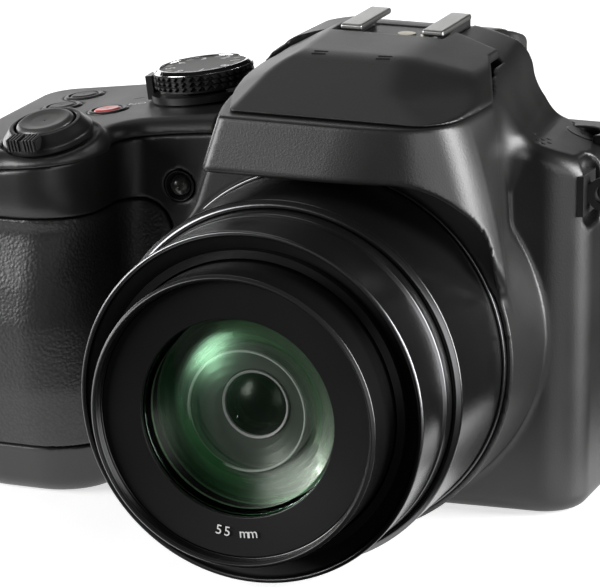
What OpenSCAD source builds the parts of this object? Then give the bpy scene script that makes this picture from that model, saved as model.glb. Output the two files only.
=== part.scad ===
// Bridge camera: a fixed long-zoom lens, a deep rubber grip, a flip-up flash
// in the hump, an eyepiece and screen at the back, and the controls of such a camera.
// Millimetres. The origin is the mouth of the tripod socket, under the lens axis.
// +X is to the right seen from the front, -Y is the way the lens looks, +Z is up.

/* [Body] */
// Width of the body without the strap lugs
body_width = 130.2; // [126:0.1:136]
// Right side, measured from the lens axis
right_x = 45; // [44:0.5:48]
// Back face of the body
back_y = 25; // [24.5:0.5:28]
// Front wall at the right corner
front_right_y = -12; // [-13:0.5:-11]
// Front wall beside the grip
front_left_y = -18; // [-19:0.5:-17]
// Height of the deck under the hump
deck_z = 78.4; // [77.5:0.1:80]
// Slope of the deck towards the grip, degrees
deck_tilt = 8; // [6:0.5:9]
// Wall of the covers
wall = 2.2; // [1.8:0.1:2.4]
// Rounding of the base and deck edges
edge_r = 3.5; // [3:0.1:4]
// Place where the front and rear covers meet
split_y = 14; // [13:0.5:15]
// How far the top cover reaches below the deck
cap_depth = 5; // [4.5:0.1:6]

/* [Grip] */
// Front of the grip
grip_front = -43; // [-45:0.5:-41]
// Width of the grip
grip_width = 29.7; // [28.5:0.1:31]
// Thickness of the rubber skin
rubber_t = 0.9; // [0.6:0.1:1.2]
// Bottom of the rubber
rubber_z0 = 11; // [9:0.5:14]
// Top of the rubber
rubber_z1 = 63; // [60:0.5:65]

/* [Hump] */
// Half width of the hump at the deck
hump_half = 30.5; // [29.5:0.5:32]
// Seam between the front bezel and the flash
seam_z = 86; // [85:0.1:87]
// Front face of the bezel
bezel_front = -48.5; // [-50:0.5:-47]
// Top of the flash
hump_top = 93.9; // [93:0.1:95]
// Top of the finder housing
finder_top = 92.2; // [91.8:0.1:92.6]
// Front face of the finder housing
finder_y = 1; // [0.8:0.1:1.4]
// Flash hinge axis, along Y
hinge_y = -3; // [-3.4:0.1:-2.6]
// Flash hinge axis, height
hinge_z = 91.2; // [90.8:0.1:91.4]
// Radius of the flash hinge pin
hinge_r = 0.8; // [0.7:0.05:0.9]

/* [Lens] */
// Room between the barrel and the level of the base
lens_lift = 0.7; // [0.7:0.1:2]
// Step from the sleeve out to the fixed barrel
barrel_step = 1.9; // [1.5:0.1:2.2]
// Front edge of the fixed barrel
barrel_front = -59.6; // [-61:0.1:-58]
// Step from the zoom barrel out to the sleeve
sleeve_step = 6.1; // [5.8:0.1:6.5]
// Front edge of the sleeve
sleeve_front = -76.1; // [-78:0.1:-75]
// Wall of the zoom barrel at its thread
rim_t = 1; // [0.8:0.1:1.2]
// Front rim of the zoom barrel
zoom_front = -85.8; // [-87:0.1:-85]
// Radius of the filter thread
filter_r = 27.5; // [26:0.5:29]
// Length of the filter thread
filter_depth = 2.4; // [2:0.1:2.6]
// Radius of the front glass that shows
glass_r = 19.4; // [18.5:0.1:20]
// Gap between barrels that slide in each other
slide_gap = 0.4; // [0.3:0.05:0.5]

/* [Controls] */
// Gap around every moving control
run_gap = 0.35; // [0.3:0.05:0.45]
// Gap between pieces that only rest together
seat_gap = 0.1; // [0.05:0.05:0.2]
// Gap of a shaft that turns in a bore
shaft_gap = 0.05; // [0.03:0.01:0.08]
// Mode dial centre, away from the side of the hump
dial_out = 10.2; // [9.9:0.1:11]
// Mode dial centre, Y
dial_y = 5; // [3:0.5:8]
// Mode dial radius
dial_r = 10.4; // [9.8:0.1:10.5]
// Height of the mode dial over the deck
dial_top = 6.9; // [6.5:0.1:7.5]
// Shutter button centre, in from the inner side of the grip
shutter_in = 4.1; // [3.5:0.1:5]
// Shutter button centre, Y
shutter_y = -32.6; // [-33:0.1:-31.5]
// Forward lean of the shutter button, degrees
shutter_lean = 12; // [10:0.5:13]
// Radius of the shutter button
shutter_r = 6; // [5.6:0.1:6.2]
// Radius of the small buttons
button_r = 3; // [2.6:0.1:3.2]
// Radius of the cursor pad
pad_r = 10; // [9.5:0.1:10.4]

/* [Screen] */
// Width of the screen window
screen_w = 70; // [68:0.5:71]
// Height of the screen window
screen_h = 52; // [50:0.5:53]
// Middle of the screen, X
screen_x = 5; // [4:0.5:6]
// Middle of the screen, Z
screen_z = 34; // [33:0.5:35]

/* [Fixings] */
// Radius of the tripod thread
tripod_r = 3.175; // [3.1:0.005:3.2]
// Depth of the tripod thread
tripod_depth = 7; // [6:0.5:7.5]
// Battery width across the grip
battery_x = 18; // [17:0.5:18.2]
// Battery depth, front to back
battery_y = 35; // [33:0.5:35.5]
// Battery height
battery_z = 49; // [46:0.5:50]

/* [Hidden] */
$fn = 72;
left_x = right_x - body_width;
grip_right = left_x + grip_width;
ridge_x = -30;
zoom_r = filter_r + rim_t;
sleeve_r = zoom_r + sleeve_step;
barrel_r = sleeve_r + barrel_step;
lens_z = barrel_r + lens_lift;
dial_x = -hump_half - dial_out;
shutter_x = grip_right - shutter_in;
screen_left = screen_x - screen_w / 2;
eye_z = finder_top - 8.2;
diopter_r = 3.5;
stem_r = 1.5;
lever_hub_r = 4;
lever_reach = 10.8;
deck_room = dial_x - dial_r - 1.4 - left_x;
lean = tan(deck_tilt);
right_fall = 0.07;
eps = 0.02;
sleeve_in = zoom_r + 2.4;
mid_in = zoom_r + slide_gap;
mid_out = sleeve_in - slide_gap;
housing_in = sleeve_in;
housing_out = housing_in + 1.7;
housing_back = 12;
rear_lens_r = 24.2;
boss_r = barrel_r + 1.7;
boss_front = -33.4;
board_y = housing_back + 2 + seat_gap;
battery_x0 = left_x + 4.8;
battery_y0 = -26;
door_x0 = battery_x0 - 0.4;
door_x1 = battery_x0 + battery_x + 3.2;
door_y0 = battery_y0 - 0.4;
door_pin_y = battery_y0 + battery_y + 2;
door_y1 = door_pin_y + 1.4;
battery_z0 = 1.95;
door_t = 1.5;
door_pin_r = 0.6;
port_y0 = -10;
port_y1 = 8;
port_z0 = 24;
port_z1 = 48;
port_t = 1.2;
seam_gap = 0.05;

// Height of the sloping deck at a place along X
function deck_at(x) =
  deck_z + (x < ridge_x ? (x - ridge_x) * lean : (x > 0 ? -x * right_fall : 0));
// Share of the deck slope that a level of the body takes
function slope_share(z) = min(1, max(0, (z - 50) / 20));
function lift(x, z) = slope_share(z) * (deck_at(x) - deck_z);
// Front of the grip at each height: drawn in under the finger rest and at the base
function grip_at(z) = grip_front + lookup(z, [[0, 9.5], [8, 7], [24, 1.5], [40, 0],
  [50, 0.6], [57, 2.6], [63, 2], [70, 0], [80, 0]]);
function arc(cx, cy, r, a0, a1, n) =
  [for (k = [0:n]) [cx + r * cos(a0 + (a1 - a0) * k / n), cy + r * sin(a0 + (a1 - a0) * k / n)]];
// Front wall of the body, a straight line seen from above
valley_r = 5;
corner_r = 9;
wall_x0 = grip_right + valley_r;
wall_x1 = right_x - corner_r;
function wall_y(x) =
  front_left_y + (x - wall_x0) * (front_right_y - front_left_y) / (wall_x1 - wall_x0);
// One outline of the body, seen from above, drawn in by an amount
function plan(z, e) =
  let (xr = right_x - e, xl = left_x + e, yb = back_y - e, xg = grip_right - e,
    yg = grip_at(z) + e, yv = front_left_y + e, yf = front_right_y + e,
    r1 = max(0.6, 6 - e), r2 = max(0.6, 8 - e), r3 = max(0.6, 15 - e), r6 = max(0.6, corner_r - e),
    r5 = valley_r, r4 = min(max(0.6, 13 - e), yv - r5 - yg - 0.3), x5 = xg + r5, x6 = xr - r6)
  concat(arc(xr - r1, yb - r1, r1, 0, 90, 4), [[0, yb], [ridge_x, yb]],
    arc(xl + r2, yb - r2, r2, 90, 180, 4), arc(xl + r3, yg + r3, r3, 180, 270, 8),
    arc(xg - r4, yg + r4, r4, 270, 360, 8), arc(x5, yv - r5, r5, 180, 90, 4),
    [for (x = [ridge_x, 0]) [x, yv + (x - x5) * (yf - yv) / (x6 - x5)]],
    arc(x6, yf + r6, r6, 270, 360, 4));
plan_n = 42;
hood_z = 75;
hood_lean = 31;
bezel_flare = 0.17;
mid_levels = [9, 22, 34, 46, 53, 58, 63, 70];
function raised(p, z) = [p[0], p[1], z + lift(p[0], z)];

// Solid body between two heights, drawn in by an amount, with rounded edges
module body_loft(inset, lo, hi, r) {
  steps = [for (k = [0:3]) [lo + r * (1 - cos(k * 30)), r * (1 - sin(k * 30))]];
  mids = [for (z = mid_levels) [z, 0]];
  caps = [for (k = [3:-1:0]) [hi - r * (1 - cos(k * 30)), r * (1 - sin(k * 30))]];
  levels = concat(steps, mids, caps);
  m = len(levels);
  points = [for (s = levels) for (p = plan(s[0], s[1] + inset)) raised(p, s[0])];
  top = (m - 1) * plan_n;
  sides = [for (i = [0:m - 2]) for (j = [0:plan_n - 1])
    let (a = i * plan_n + j, b = i * plan_n + (j + 1) % plan_n)
    for (f = [[a, a + plan_n, b + plan_n], [a, b + plan_n, b]]) f];
  base = [[for (j = [0:plan_n - 1]) j]];
  roof = [[for (j = [35:-1:6]) top + j], [for (j = [36, 35, 6, 5]) top + j],
    [for (j = [5, 4, 3, 2, 1, 0, 41, 40, 39, 38, 37, 36]) top + j]];
  polyhedron(points, concat(sides, base, roof), convexity = 8);
}

module body_shell() {
  difference() {
    body_loft(0, 0, deck_z, edge_r);
    body_loft(wall, wall, deck_z - wall, edge_r - 1);
  }
}

// Everything above the joint of the top cover, shifted up by an amount
module above_joint(up) {
  z0 = deck_z - cap_depth + up;
  translate([0, 100, 0])
    rotate([90, 0, 0])
      linear_extrude(height = 200)
        polygon([[-120, z0 - (120 + ridge_x) * lean], [ridge_x, z0], [0, z0],
          [80, z0 - 80 * right_fall], [80, 140], [-120, 140]]);
}

// A block given by its low and high corners
module block(a, b) {
  translate(a)
    cube(b - a);
}
module y_rod(r, y0, y1, x = 0, z = lens_z) {
  translate([x, y0, z])
    rotate([-90, 0, 0])
      cylinder(r = r, h = y1 - y0);
}
module y_tube(r_out, r_in, y0, y1) {
  difference() {
    y_rod(r_out, y0, y1);
    y_rod(r_in, y0 - 1, y1 + 1);
  }
}
module x_rod(r, x0, x1, y, z) {
  translate([x0, y, z])
    rotate([0, 90, 0])
      cylinder(r = r, h = x1 - x0, $fn = 36);
}
module z_rod(r, x, y, z0, z1) {
  translate([x, y, z0])
    cylinder(r = r, h = z1 - z0, $fn = 48);
}
// A shape turned about the lens axis; its outline is given as radius and Y
module turned(outline) {
  translate([0, 0, lens_z])
    rotate([-90, 0, 0])
      rotate_extrude()
        polygon(outline);
}
// A rounded plate facing along Y
module y_plate(x0, x1, z0, z1, y0, y1, r) {
  block([x0 + r, y0, z0], [x1 - r, y1, z1]);
  block([x0, y0, z0 + r], [x1, y1, z1 - r]);
  for (x = [x0 + r, x1 - r])
    for (z = [z0 + r, z1 - r])
      y_rod(r, y0, y1, x, z);
}
// A block with its four edges along one axis rounded
module soft_block(a, b, r, axis) {
  hull()
    for (u = [0, 1])
      for (v = [0, 1])
        if (axis == 0)
          translate([a[0], u ? a[1] + r : b[1] - r, v ? a[2] + r : b[2] - r])
            rotate([0, 90, 0])
              cylinder(r = r, h = b[0] - a[0]);
        else if (axis == 1)
          translate([u ? a[0] + r : b[0] - r, a[1], v ? a[2] + r : b[2] - r])
            rotate([-90, 0, 0])
              cylinder(r = r, h = b[1] - a[1]);
        else
          translate([u ? a[0] + r : b[0] - r, v ? a[1] + r : b[1] - r, a[2]])
            cylinder(r = r, h = b[2] - a[2]);
}
// A tapered post that a screw goes into
module post(r0, r1, h) {
  hull() {
    cylinder(r = r0, h = 0.5);
    translate([0, 0, h - 0.5])
      cylinder(r = r1, h = 0.5);
  }
}
module at_dial() {
  translate([dial_x, dial_y, deck_at(dial_x)])
    rotate([0, -deck_tilt, 0])
      children();
}
module at_shutter() {
  translate([shutter_x, shutter_y, deck_at(shutter_x)])
    rotate([shutter_lean, -deck_tilt, 0])
      children();
}
module at_deck(p) {
  translate([p[0], p[1], deck_at(p[0])])
    rotate([0, -deck_tilt, 0])
      children();
}
screw_at = [[-30, -4], [-30, 8.5], [31, -3], [31, 8.5]];
lamp_at = [-hump_half - 7.5, lens_z + 26];
lug_y = -4;
lug_z = 66;
movie_at = [left_x + 0.795 * deck_room, -4.3];
drive_at = [left_x + 0.404 * deck_room, 13];
focus_at = [left_x + 0.388 * deck_room, 2.5];
flash_button_at = [right_x - 8, 15];
rear_dial_at = [left_x + 22.2, back_y - 7.8, 60.5];
play_at = [screen_left - 11, 54];
lock_at = [rear_dial_at[0] + 17, 64];
pad_at = [left_x + 29.2, 34];
display_at = [screen_left - 15, 14];
delete_at = [left_x + 17.2, 14];
finder_button_at = [23, (deck_z + finder_top) / 2 - 3.3];

// Covers

module front_cover() {
  $fn = 32;
  color("dimgray")
    difference() {
      union() {
        difference() {
          body_shell();
          above_joint(-seam_gap);
          block([-200, split_y - seam_gap, -10], [200, 100, 120]);
        }
        for (p = screw_at)
          translate([p[0], p[1], wall - 1])
            post(3.4, 2.6, 6);
      }
      y_rod(housing_out + 0.4, -60, 5, $fn = 72);
      z_rod(6 + seat_gap, 0, 0, -1, 6);
      soft_block([door_x0 - run_gap, door_y0 - run_gap, -1], [door_x1 + run_gap, door_y1 + run_gap, 6],
        1, 2);
      soft_block([left_x - 1, port_y0 - run_gap, port_z0 - run_gap],
        [left_x + wall + 1, port_y1 + run_gap, port_z1 + run_gap], 1, 0);
      y_rod(3 + seat_gap, -40, -10, lamp_at[0], lamp_at[1]);
      soft_block([right_x - 4.5, lug_y - 4.5, lug_z - 4.5], [right_x + 1, lug_y + 4.5, lug_z + 4.5], 0.2, 0);
      soft_block([left_x - 1, lug_y - 4.5, lug_z - 12.5], [left_x + 4.5, lug_y + 4.5, lug_z - 3.5], 0.2, 0);
      for (p = screw_at) {
        z_rod(1.6 + seat_gap, p[0], p[1], -1, 1.9);
        z_rod(0.9 + seat_gap, p[0], p[1], -1, 20);
      }
    }
}

module rear_cover() {
  $fn = 32;
  color("dimgray")
    difference() {
      union() {
        difference() {
          body_shell();
          above_joint(-seam_gap);
          block([-200, -100, -10], [200, split_y + seam_gap, 120]);
        }
        for (p = [[screen_left - 4, 7], [screen_left - 4, 50], [left_x + 6.2, 9], [left_x + 7.2, 58]])
          translate([p[0], back_y - wall / 2, p[1]])
            rotate([90, 0, 0])
              post(2.8, 2, back_y - split_y - wall);
      }
      screen_hole();
      eyepiece_hole();
      for (p = [play_at, lock_at, display_at, delete_at])
        y_rod(button_r + run_gap, 15, 40, p[0], p[1]);
      y_rod(pad_r + run_gap, 15, 40, pad_at[0], pad_at[1], $fn = 48);
      soft_block([rear_dial_at[0] - 9.8, 8, rear_dial_at[2] - 0.5],
        [rear_dial_at[0] + 9.8, 40, rear_dial_at[2] + 4.5], 1, 1);
      soft_block([left_x + 2.7, back_y - 0.8, 24], [left_x + 15.2, 40, 56], 3, 1);
    }
}

module screen_hole() {
  x0 = screen_x - screen_w / 2;
  z0 = screen_z - screen_h / 2;
  soft_block([x0 - seat_gap, back_y - 1.3, z0 - seat_gap],
    [x0 + screen_w + seat_gap, 40, z0 + screen_h + seat_gap], 0.2, 1);
  soft_block([x0 + 3, 16, z0 + 2.5], [x0 + screen_w - 3, 40, z0 + screen_h - 2.5], 1, 1);
}

// Cross section of the finder housing with rounded edges, drawn in by an amount
module finder_section(e) {
  r = 1.5;
  hull()
    for (m = [-1, 1])
      for (p = [[hump_half - e, deck_z - 1], [hump_half - 0.5 - e, seam_z - 1],
        [hump_half - 5.5 - e * 0.8, finder_top - 2.2 - e], [13, finder_top - e]])
        translate([m * (p[0] - r), p[1] - r])
          circle(r = r, $fn = 24);
}
module finder_block(e, y0, y1) {
  translate([0, y1, 0])
    rotate([90, 0, 0])
      linear_extrude(height = y1 - y0)
        finder_section(e);
}
// The part of the hump under the flash, seen from above
module tub(e, z0, z1) {
  r = 1.5;
  translate([0, 0, z0])
    linear_extrude(height = z1 - z0)
      hull()
        for (m = [-1, 1])
          for (y = [wall_y(hump_half) + seam_gap + e + r, finder_y + 1.7])
            translate([m * (hump_half - 0.8 - e - r), y])
              circle(r = r, $fn = 24);
}

module top_cover() {
  $fn = 32;
  color("dimgray")
    difference() {
      union() {
        intersection() {
          body_shell();
          above_joint(seam_gap);
        }
        tub(0, deck_z - 3, seam_z - seam_gap);
        finder_block(0, finder_y, back_y);
        at_shutter()
          translate([0, 0, -2.4])
            post(10.4, 11, 2.5, $fn = 64);
        for (m = [-1, 1])
          translate([m * 24, 12, deck_z - wall - 3])
            post(2, 3, 5);
      }
      tub(wall + 0.4, 60, seam_z - wall);
      finder_block(wall, finder_y + wall, back_y - wall);
      block([-22, finder_y + wall, 60], [22, back_y - wall, deck_z]);
      soft_block([-11.2, finder_y + 2, finder_top - 2.3], [11.2, back_y - 1, 110], 0.5, 2);
      at_dial() {
        translate([0, 0, -6])
          cylinder(r = 4 + run_gap, h = 20);
        translate([0, 0, run_gap / 2])
          cylinder(r = dial_r + 1.4, h = 20, $fn = 64);
      }
      at_shutter() {
        translate([0, 0, -9])
          cylinder(r = lever_hub_r + run_gap, h = 20);
        translate([0, 0, 0.2])
          cylinder(r = lever_reach + run_gap, h = 20);
      }
      for (p = [movie_at, drive_at, focus_at])
        at_deck(p)
          translate([0, 0, -6])
            cylinder(r = button_r + run_gap, h = 20);
      z_rod(button_r + run_gap, flash_button_at[0], flash_button_at[1], 60, 100);
      eyepiece_hole();
    }
}

module eyepiece_hole() {
  soft_block([-15, back_y - 7, eye_z - 7], [15, back_y + 15, eye_z + 5.5], 3, 1);
  y_rod(2.6 + run_gap, back_y - 10, back_y + 15, finder_button_at[0], finder_button_at[1]);
}

// The block of the bezel, drawn in by an amount
// Front block seen from above at the flash seam, drawn in by an amount
function bezel_outline(e) =
  let (h = hump_half - e, f = bezel_front + e)
  [[-h, -10 + e], [-h + 1, f + 15.5], [-h + 2.8, f + 7], [-h + 7, f + 2.5], [-h + 14.5, f],
    [h - 14.5, f], [h - 7, f + 2.5], [h - 2.8, f + 7], [h - 1, f + 15.5], [h, -10 + e]];
// The block grows sideways towards its foot, and its lower part stands back behind a slanted cut
module bezel_block(e, top) {
  outline = bezel_outline(e);
  n = len(outline);
  foot = 50;
  grow = bezel_flare * (top - foot);
  points = concat([for (p = outline) [p[0] + sign(p[0]) * grow, p[1], foot]],
    [for (p = outline) [p[0], p[1], top]]);
  sides = [for (j = [0:n - 1]) [j, j + n, (j + 1) % n + n, (j + 1) % n]];
  base = [[for (j = [0:n - 1]) j]];
  roof = [[for (j = [n - 1:-1:0]) n + j]];
  difference() {
    polyhedron(points, concat(sides, base, roof), convexity = 6);
    translate([0, bezel_front - 0.3 + e * 1.2, hood_z])
      rotate([-hood_lean, 0, 0])
        translate([-80, -60, -90])
          cube([160, 60, 90]);
  }
}
module front_bezel() {
  color("dimgray")
    difference() {
      union() {
        bezel_block(0, seam_z - seam_gap);
        y_rod(boss_r, boss_front, -10);
      }
      difference() {
        bezel_block(wall, seam_z - seam_gap - wall);
        y_rod(barrel_r + 3.2 + wall, -100, 20);
      }
      y_rod(barrel_r + 0.4, -100, 20);
      y_rod(barrel_r + 3.2, -100, boss_front - 0.02);
      block([-60, -100, -10], [60, 100, 0.4]);
      translate([0, 0, -10])
        linear_extrude(height = 130)
          polygon([[-70, wall_y(-70) - seam_gap], [70, wall_y(70) - seam_gap], [70, 60], [-70, 60]]);
    }
}

// One line of the rubber along the grip, drawn out by an amount
function rubber_line(z, t) =
  let (p = plan(z, -t))
  [for (q = concat([[left_x - t, -14]], [for (j = [12:34]) p[j]], [[-43, wall_y(-43) - t]]))
    raised(q, z)];
module grip_rubber() {
  zs = concat([rubber_z0], [for (z = mid_levels) if (z > rubber_z0 && z < rubber_z1) z], [rubber_z1]);
  m = len(zs) - 1;
  n = 25;
  off = n * (m + 1);
  points = concat([for (z = zs) for (p = rubber_line(z, rubber_t)) p],
    [for (z = zs) for (p = rubber_line(z, seat_gap)) p]);
  skin = [for (i = [0:m - 1]) for (j = [0:n - 2])
    let (a = i * n + j, b = a + 1)
    for (f = [[a, a + n, b + n], [a, b + n, b], [off + a, off + b + n, off + a + n],
      [off + a, off + b, off + b + n]]) f];
  edges = [for (j = [0:n - 2])
    let (t = m * n + j)
    for (f = [[j, j + 1, off + j + 1], [j, off + j + 1, off + j], [t + 1, t, off + t],
      [t + 1, off + t, off + t + 1]]) f];
  ends = [for (i = [0:m - 1])
    let (a = i * n, c = i * n + n - 1)
    for (f = [[a, off + a, off + a + n], [a, off + a + n, a + n], [c, c + n, off + c + n],
      [c, off + c + n, off + c]]) f];
  color("darkslategray")
    polyhedron(points, concat(skin, edges, ends), convexity = 8);
}

module thumb_rubber() {
  color("darkslategray")
    y_plate(left_x + 2.8, left_x + 15.1, 24.1, 55.9, back_y - 0.7, back_y + 0.9, 2.9);
}

// Lens

module lens_housing() {
  color("black")
    difference() {
      union() {
        y_rod(housing_out, boss_front + 1, -13);
        y_rod(rear_lens_r + 1.8, -13.5, housing_back);
      }
      y_rod(housing_in, -60, -14.5);
      y_rod(rear_lens_r + seat_gap, -20, housing_back - 1.7);
      block([-9, 0, lens_z - 7.5], [9, 30, lens_z + 7.5]);
    }
}

module fixed_barrel() {
  color("black")
    turned([[barrel_r, boss_front + 0.6], [barrel_r, barrel_front + 0.7],
      [barrel_r - 0.7, barrel_front], [sleeve_r + 0.3, barrel_front],
      [sleeve_r + 0.3, boss_front - 1.5], [housing_out + seat_gap, boss_front - 1.5],
      [housing_out + seat_gap, boss_front + 0.6]]);
}

module trim_ring() {
  color("silver")
    turned([[barrel_r + seat_gap, boss_front - 1.2], [barrel_r + 0.4, boss_front - 1.2],
      [barrel_r + 0.6, boss_front - 0.9], [barrel_r + 0.6, boss_front - seam_gap],
      [barrel_r + seat_gap, boss_front - seam_gap]]);
}

module front_sleeve() {
  r = sleeve_r;
  f = sleeve_front;
  color("black")
    turned([[sleeve_in, f + 1.2], [r - 1.1, f + 1.2], [r - 0.8, f], [r - 0.2, f], [r, f + 0.5],
      [r - 0.5, f + 12.6], [r - 0.9, f + 13.1], [r - 0.1, f + 13.6], [r + 0.2, barrel_front],
      [r + 0.2, boss_front - 1.7], [sleeve_in, boss_front - 1.7], [sleeve_in, boss_front - 4.7],
      [r - 1.6, boss_front - 4.7], [r - 1.6, f + 4.2], [sleeve_in, f + 4.2]]);
}

module mid_barrel() {
  color("black")
    y_tube(mid_out, mid_in, sleeve_front + 1.6, -25);
}

module zoom_barrel() {
  f = zoom_front;
  color("black")
    turned([[zoom_r - 0.6, f], [zoom_r, f + 0.6], [zoom_r, -35.8], [zoom_r - 1.4, -35.8],
      [zoom_r - 1.4, f + 10], [glass_r + 2.6, f + 10], [glass_r + 2.6, f + 4.4],
      [filter_r - 0.5, f + 4.4], [filter_r - 0.5, f + filter_depth], [filter_r, f + filter_depth],
      [filter_r, f]]);
}

module name_ring() {
  f = zoom_front + filter_depth;
  r = filter_r - 0.5 - seat_gap;
  color("gray")
    turned([[r, f + 0.1], [r, f + 1.9], [glass_r, f + 1.9], [glass_r, f + 0.7]]);
}

module front_lens() {
  color("lightgreen")
    turned([[0, zoom_front + 2.7], [glass_r * 0.5, zoom_front + 3.2], [glass_r - 0.2, zoom_front + 4.5],
      [glass_r + 2.4, zoom_front + 4.5], [glass_r + 2.4, zoom_front + 7], [0, zoom_front + 7]]);
}

module second_lens() {
  color("lightgreen")
    turned([[0, zoom_front + 7.2], [glass_r + 2.4, zoom_front + 7.2],
      [glass_r + 2.4, zoom_front + 9.6], [glass_r - 2, zoom_front + 9.8], [0, zoom_front + 12.4]]);
}

module rear_lens() {
  color("lightgreen")
    turned([[0, -8.6], [8, -7.6], [11, -6], [rear_lens_r, -6], [rear_lens_r, -2.5], [11, -2.5],
      [0, -2]]);
}

module image_sensor() {
  color("darkgreen")
    block([-8.5, housing_back - 1.4, lens_z - 7], [8.5, housing_back + 2, lens_z + 7]);
}

module main_board() {
  color("darkgreen")
    block([-34, board_y, 8], [36, board_y + 1.2, 66]);
}

// Back

module screen_panel() {
  color("black")
    block([screen_x - screen_w / 2 + 1.5, back_y - wall - 2.3, screen_z - screen_h / 2 + 1],
      [screen_x + screen_w / 2 - 1.5, back_y - wall - seat_gap, screen_z + screen_h / 2 - 1]);
}

module screen_window() {
  color("black")
    block([screen_x - screen_w / 2, back_y - 1.2, screen_z - screen_h / 2],
      [screen_x + screen_w / 2, back_y + 0.1, screen_z + screen_h / 2]);
}

module eyepiece_housing() {
  color("black")
    difference() {
      union() {
        y_plate(-14.9, 14.9, eye_z - 6.9, eye_z + 5.4, finder_y + 10, back_y + 1, 2.9);
        y_plate(-16, 16, eye_z - 8, eye_z + 7.2, back_y + seam_gap, back_y + 8, 4);
      }
      y_plate(-10, 10, eye_z - 4.5, eye_z + 4.5, 10, 60, 3);
      x_rod(diopter_r + run_gap, 12, 20, back_y + 4.2, eye_z);
    }
}

module eyecup() {
  color("darkslategray")
    difference() {
      y_plate(-17, 17, eye_z - 9, eye_z + 8, back_y + 8.1, back_y + 18.1, 6);
      y_plate(-11.5, 11.5, eye_z - 6, eye_z + 5.5, back_y + 11, back_y + 30, 4);
      y_plate(-10, 10, eye_z - 4.5, eye_z + 4.5, back_y, back_y + 30, 3);
    }
}

module eyepiece_lens() {
  color("lightblue")
    y_plate(-9.9, 9.9, eye_z - 4.4, eye_z + 4.4, back_y + 5, back_y + 7.5, 2.9);
}

module finder_display() {
  color("black")
    block([-11, finder_y + 7, eye_z - 5], [11, finder_y + 10 - seat_gap, eye_z + 5]);
}

module diopter_dial() {
  color("black")
    x_rod(diopter_r, 14, 17, back_y + 4.2, eye_z);
}

// Flash and shoe

// Outline points of the flash, drawn in by an amount
module flash_form(e) {
  h = hump_half - 1 - e;
  f = bezel_front + e;
  s = seam_z + run_gap;
  t = hump_top - e;
  y1 = finder_y - 2 + (e > 0 ? 10 : 0);
  hull()
    for (m = [-1, 1])
      for (p = [[h - 13.5, f, s], [h - 6, f + 2.5, s], [h - 1.8, f + 7, s], [h - 0.4, f + 26, s],
        [h, y1, s], [h - 12, f + 4, s + 0.6 - e * 0.4], [h - 7, f + 22, t - 4.6], [h - 5, y1, t - 3.7],
        [h - 15.5, f + 3.3, s + 0.5 - e * 0.4], [h - 19.5, f + 28.5, t], [h - 19, y1, t]])
        translate([m * p[0], p[1], p[2]])
          cube(eps, center = true);
}

module flash_cover() {
  color("dimgray")
    difference() {
      union() {
        difference() {
          flash_form(0);
          flash_form(1.8);
          translate([0, 0, -eps])
            linear_extrude(height = seam_z + run_gap - 0.2)
              square(200, center = true);
        }
        x_rod(2.3, -5.6, 5.6, hinge_y, hinge_z);
      }
      x_rod(hinge_r + shaft_gap, -20, 20, hinge_y, hinge_z);
      for (m = [-1, 1])
        block([m * 7.6 - 1.85, hinge_y - 6, 80], [m * 7.6 + 1.85, 10, hinge_z + 1.9]);
    }
}

module flash_lamp() {
  color("white")
    block([-13, bezel_front + 16, seam_z + 0.8], [13, bezel_front + 22, seam_z + 2.3]);
}

module flash_bracket() {
  color("silver")
    difference() {
      union() {
        block([-9, hinge_y - 3, seam_z + seat_gap], [9, hinge_y + 2.8, seam_z + 1]);
        for (m = [-1, 1]) {
          block([m * 7.6 - 1.4, hinge_y - 1.5, seam_z + 0.5], [m * 7.6 + 1.4, hinge_y + 1.5, hinge_z]);
          x_rod(1.5, m * 7.6 - 1.4, m * 7.6 + 1.4, hinge_y, hinge_z);
        }
      }
      x_rod(hinge_r + seat_gap / 4, -20, 20, hinge_y, hinge_z);
    }
}

module flash_pin() {
  color("silver")
    x_rod(hinge_r, -9, 9, hinge_y, hinge_z);
}

module flash_button() {
  z = deck_at(flash_button_at[0]);
  color("dimgray")
    union() {
      z_rod(button_r, flash_button_at[0], flash_button_at[1], z - 4.4, z + 0.5);
      z_rod(button_r + 1.2, flash_button_at[0], flash_button_at[1], z - 5, z - 3.8);
    }
}

module shoe_rails() {
  y0 = finder_y + 2.4;
  y1 = y0 + 18.6;
  z0 = finder_top - 1.2;
  color("silver")
    for (m = [-1, 1]) {
      block([m * 10.15 - 0.85, y0, z0 - 1], [m * 10.15 + 0.85, y1, z0 + 3.6]);
      block([m * 8.6 - 2.4, y0, z0 + 2.1], [m * 8.6 + 2.4, y1, z0 + 3.6]);
    }
}

module shoe_base() {
  y0 = finder_y + 2.4;
  z0 = finder_top - 1.2;
  color("black")
    union() {
      block([-9.2, y0, z0 - 1], [9.2, y0 + 18.6, z0]);
      z_rod(1.6, 0, y0 + 8, z0 - 0.2, z0 + 0.3);
      for (p = [[-4.5, 5], [4.5, 5], [4.5, 10.5]])
        z_rod(0.9, p[0], y0 + p[1], z0 - 0.2, z0 + 0.25);
    }
}

// Deck controls

module mode_dial() {
  color("dimgray")
    at_dial()
      union() {
        translate([0, 0, -5])
          cylinder(r = 4, h = 8);
        translate([0, 0, 2.2])
          rotate_extrude()
            polygon([[0, 0], [dial_r - 0.6, 0], [dial_r, 0.6], [dial_r, dial_top - 3.2],
              [dial_r - 0.9, dial_top - 2.2], [0, dial_top - 2.4]]);
      }
}

module power_lever() {
  color("dimgray")
    at_dial()
      difference() {
        union() {
          translate([0, 0, run_gap])
            cylinder(r = dial_r + 0.9, h = 1.4);
          rotate([0, 0, 183])
            translate([dial_r + run_gap, -2.2, run_gap])
              cube([1.4, 4.4, 5]);
        }
        translate([0, 0, -1])
          cylinder(r = 4 + run_gap, h = 5);
      }
}

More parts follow.
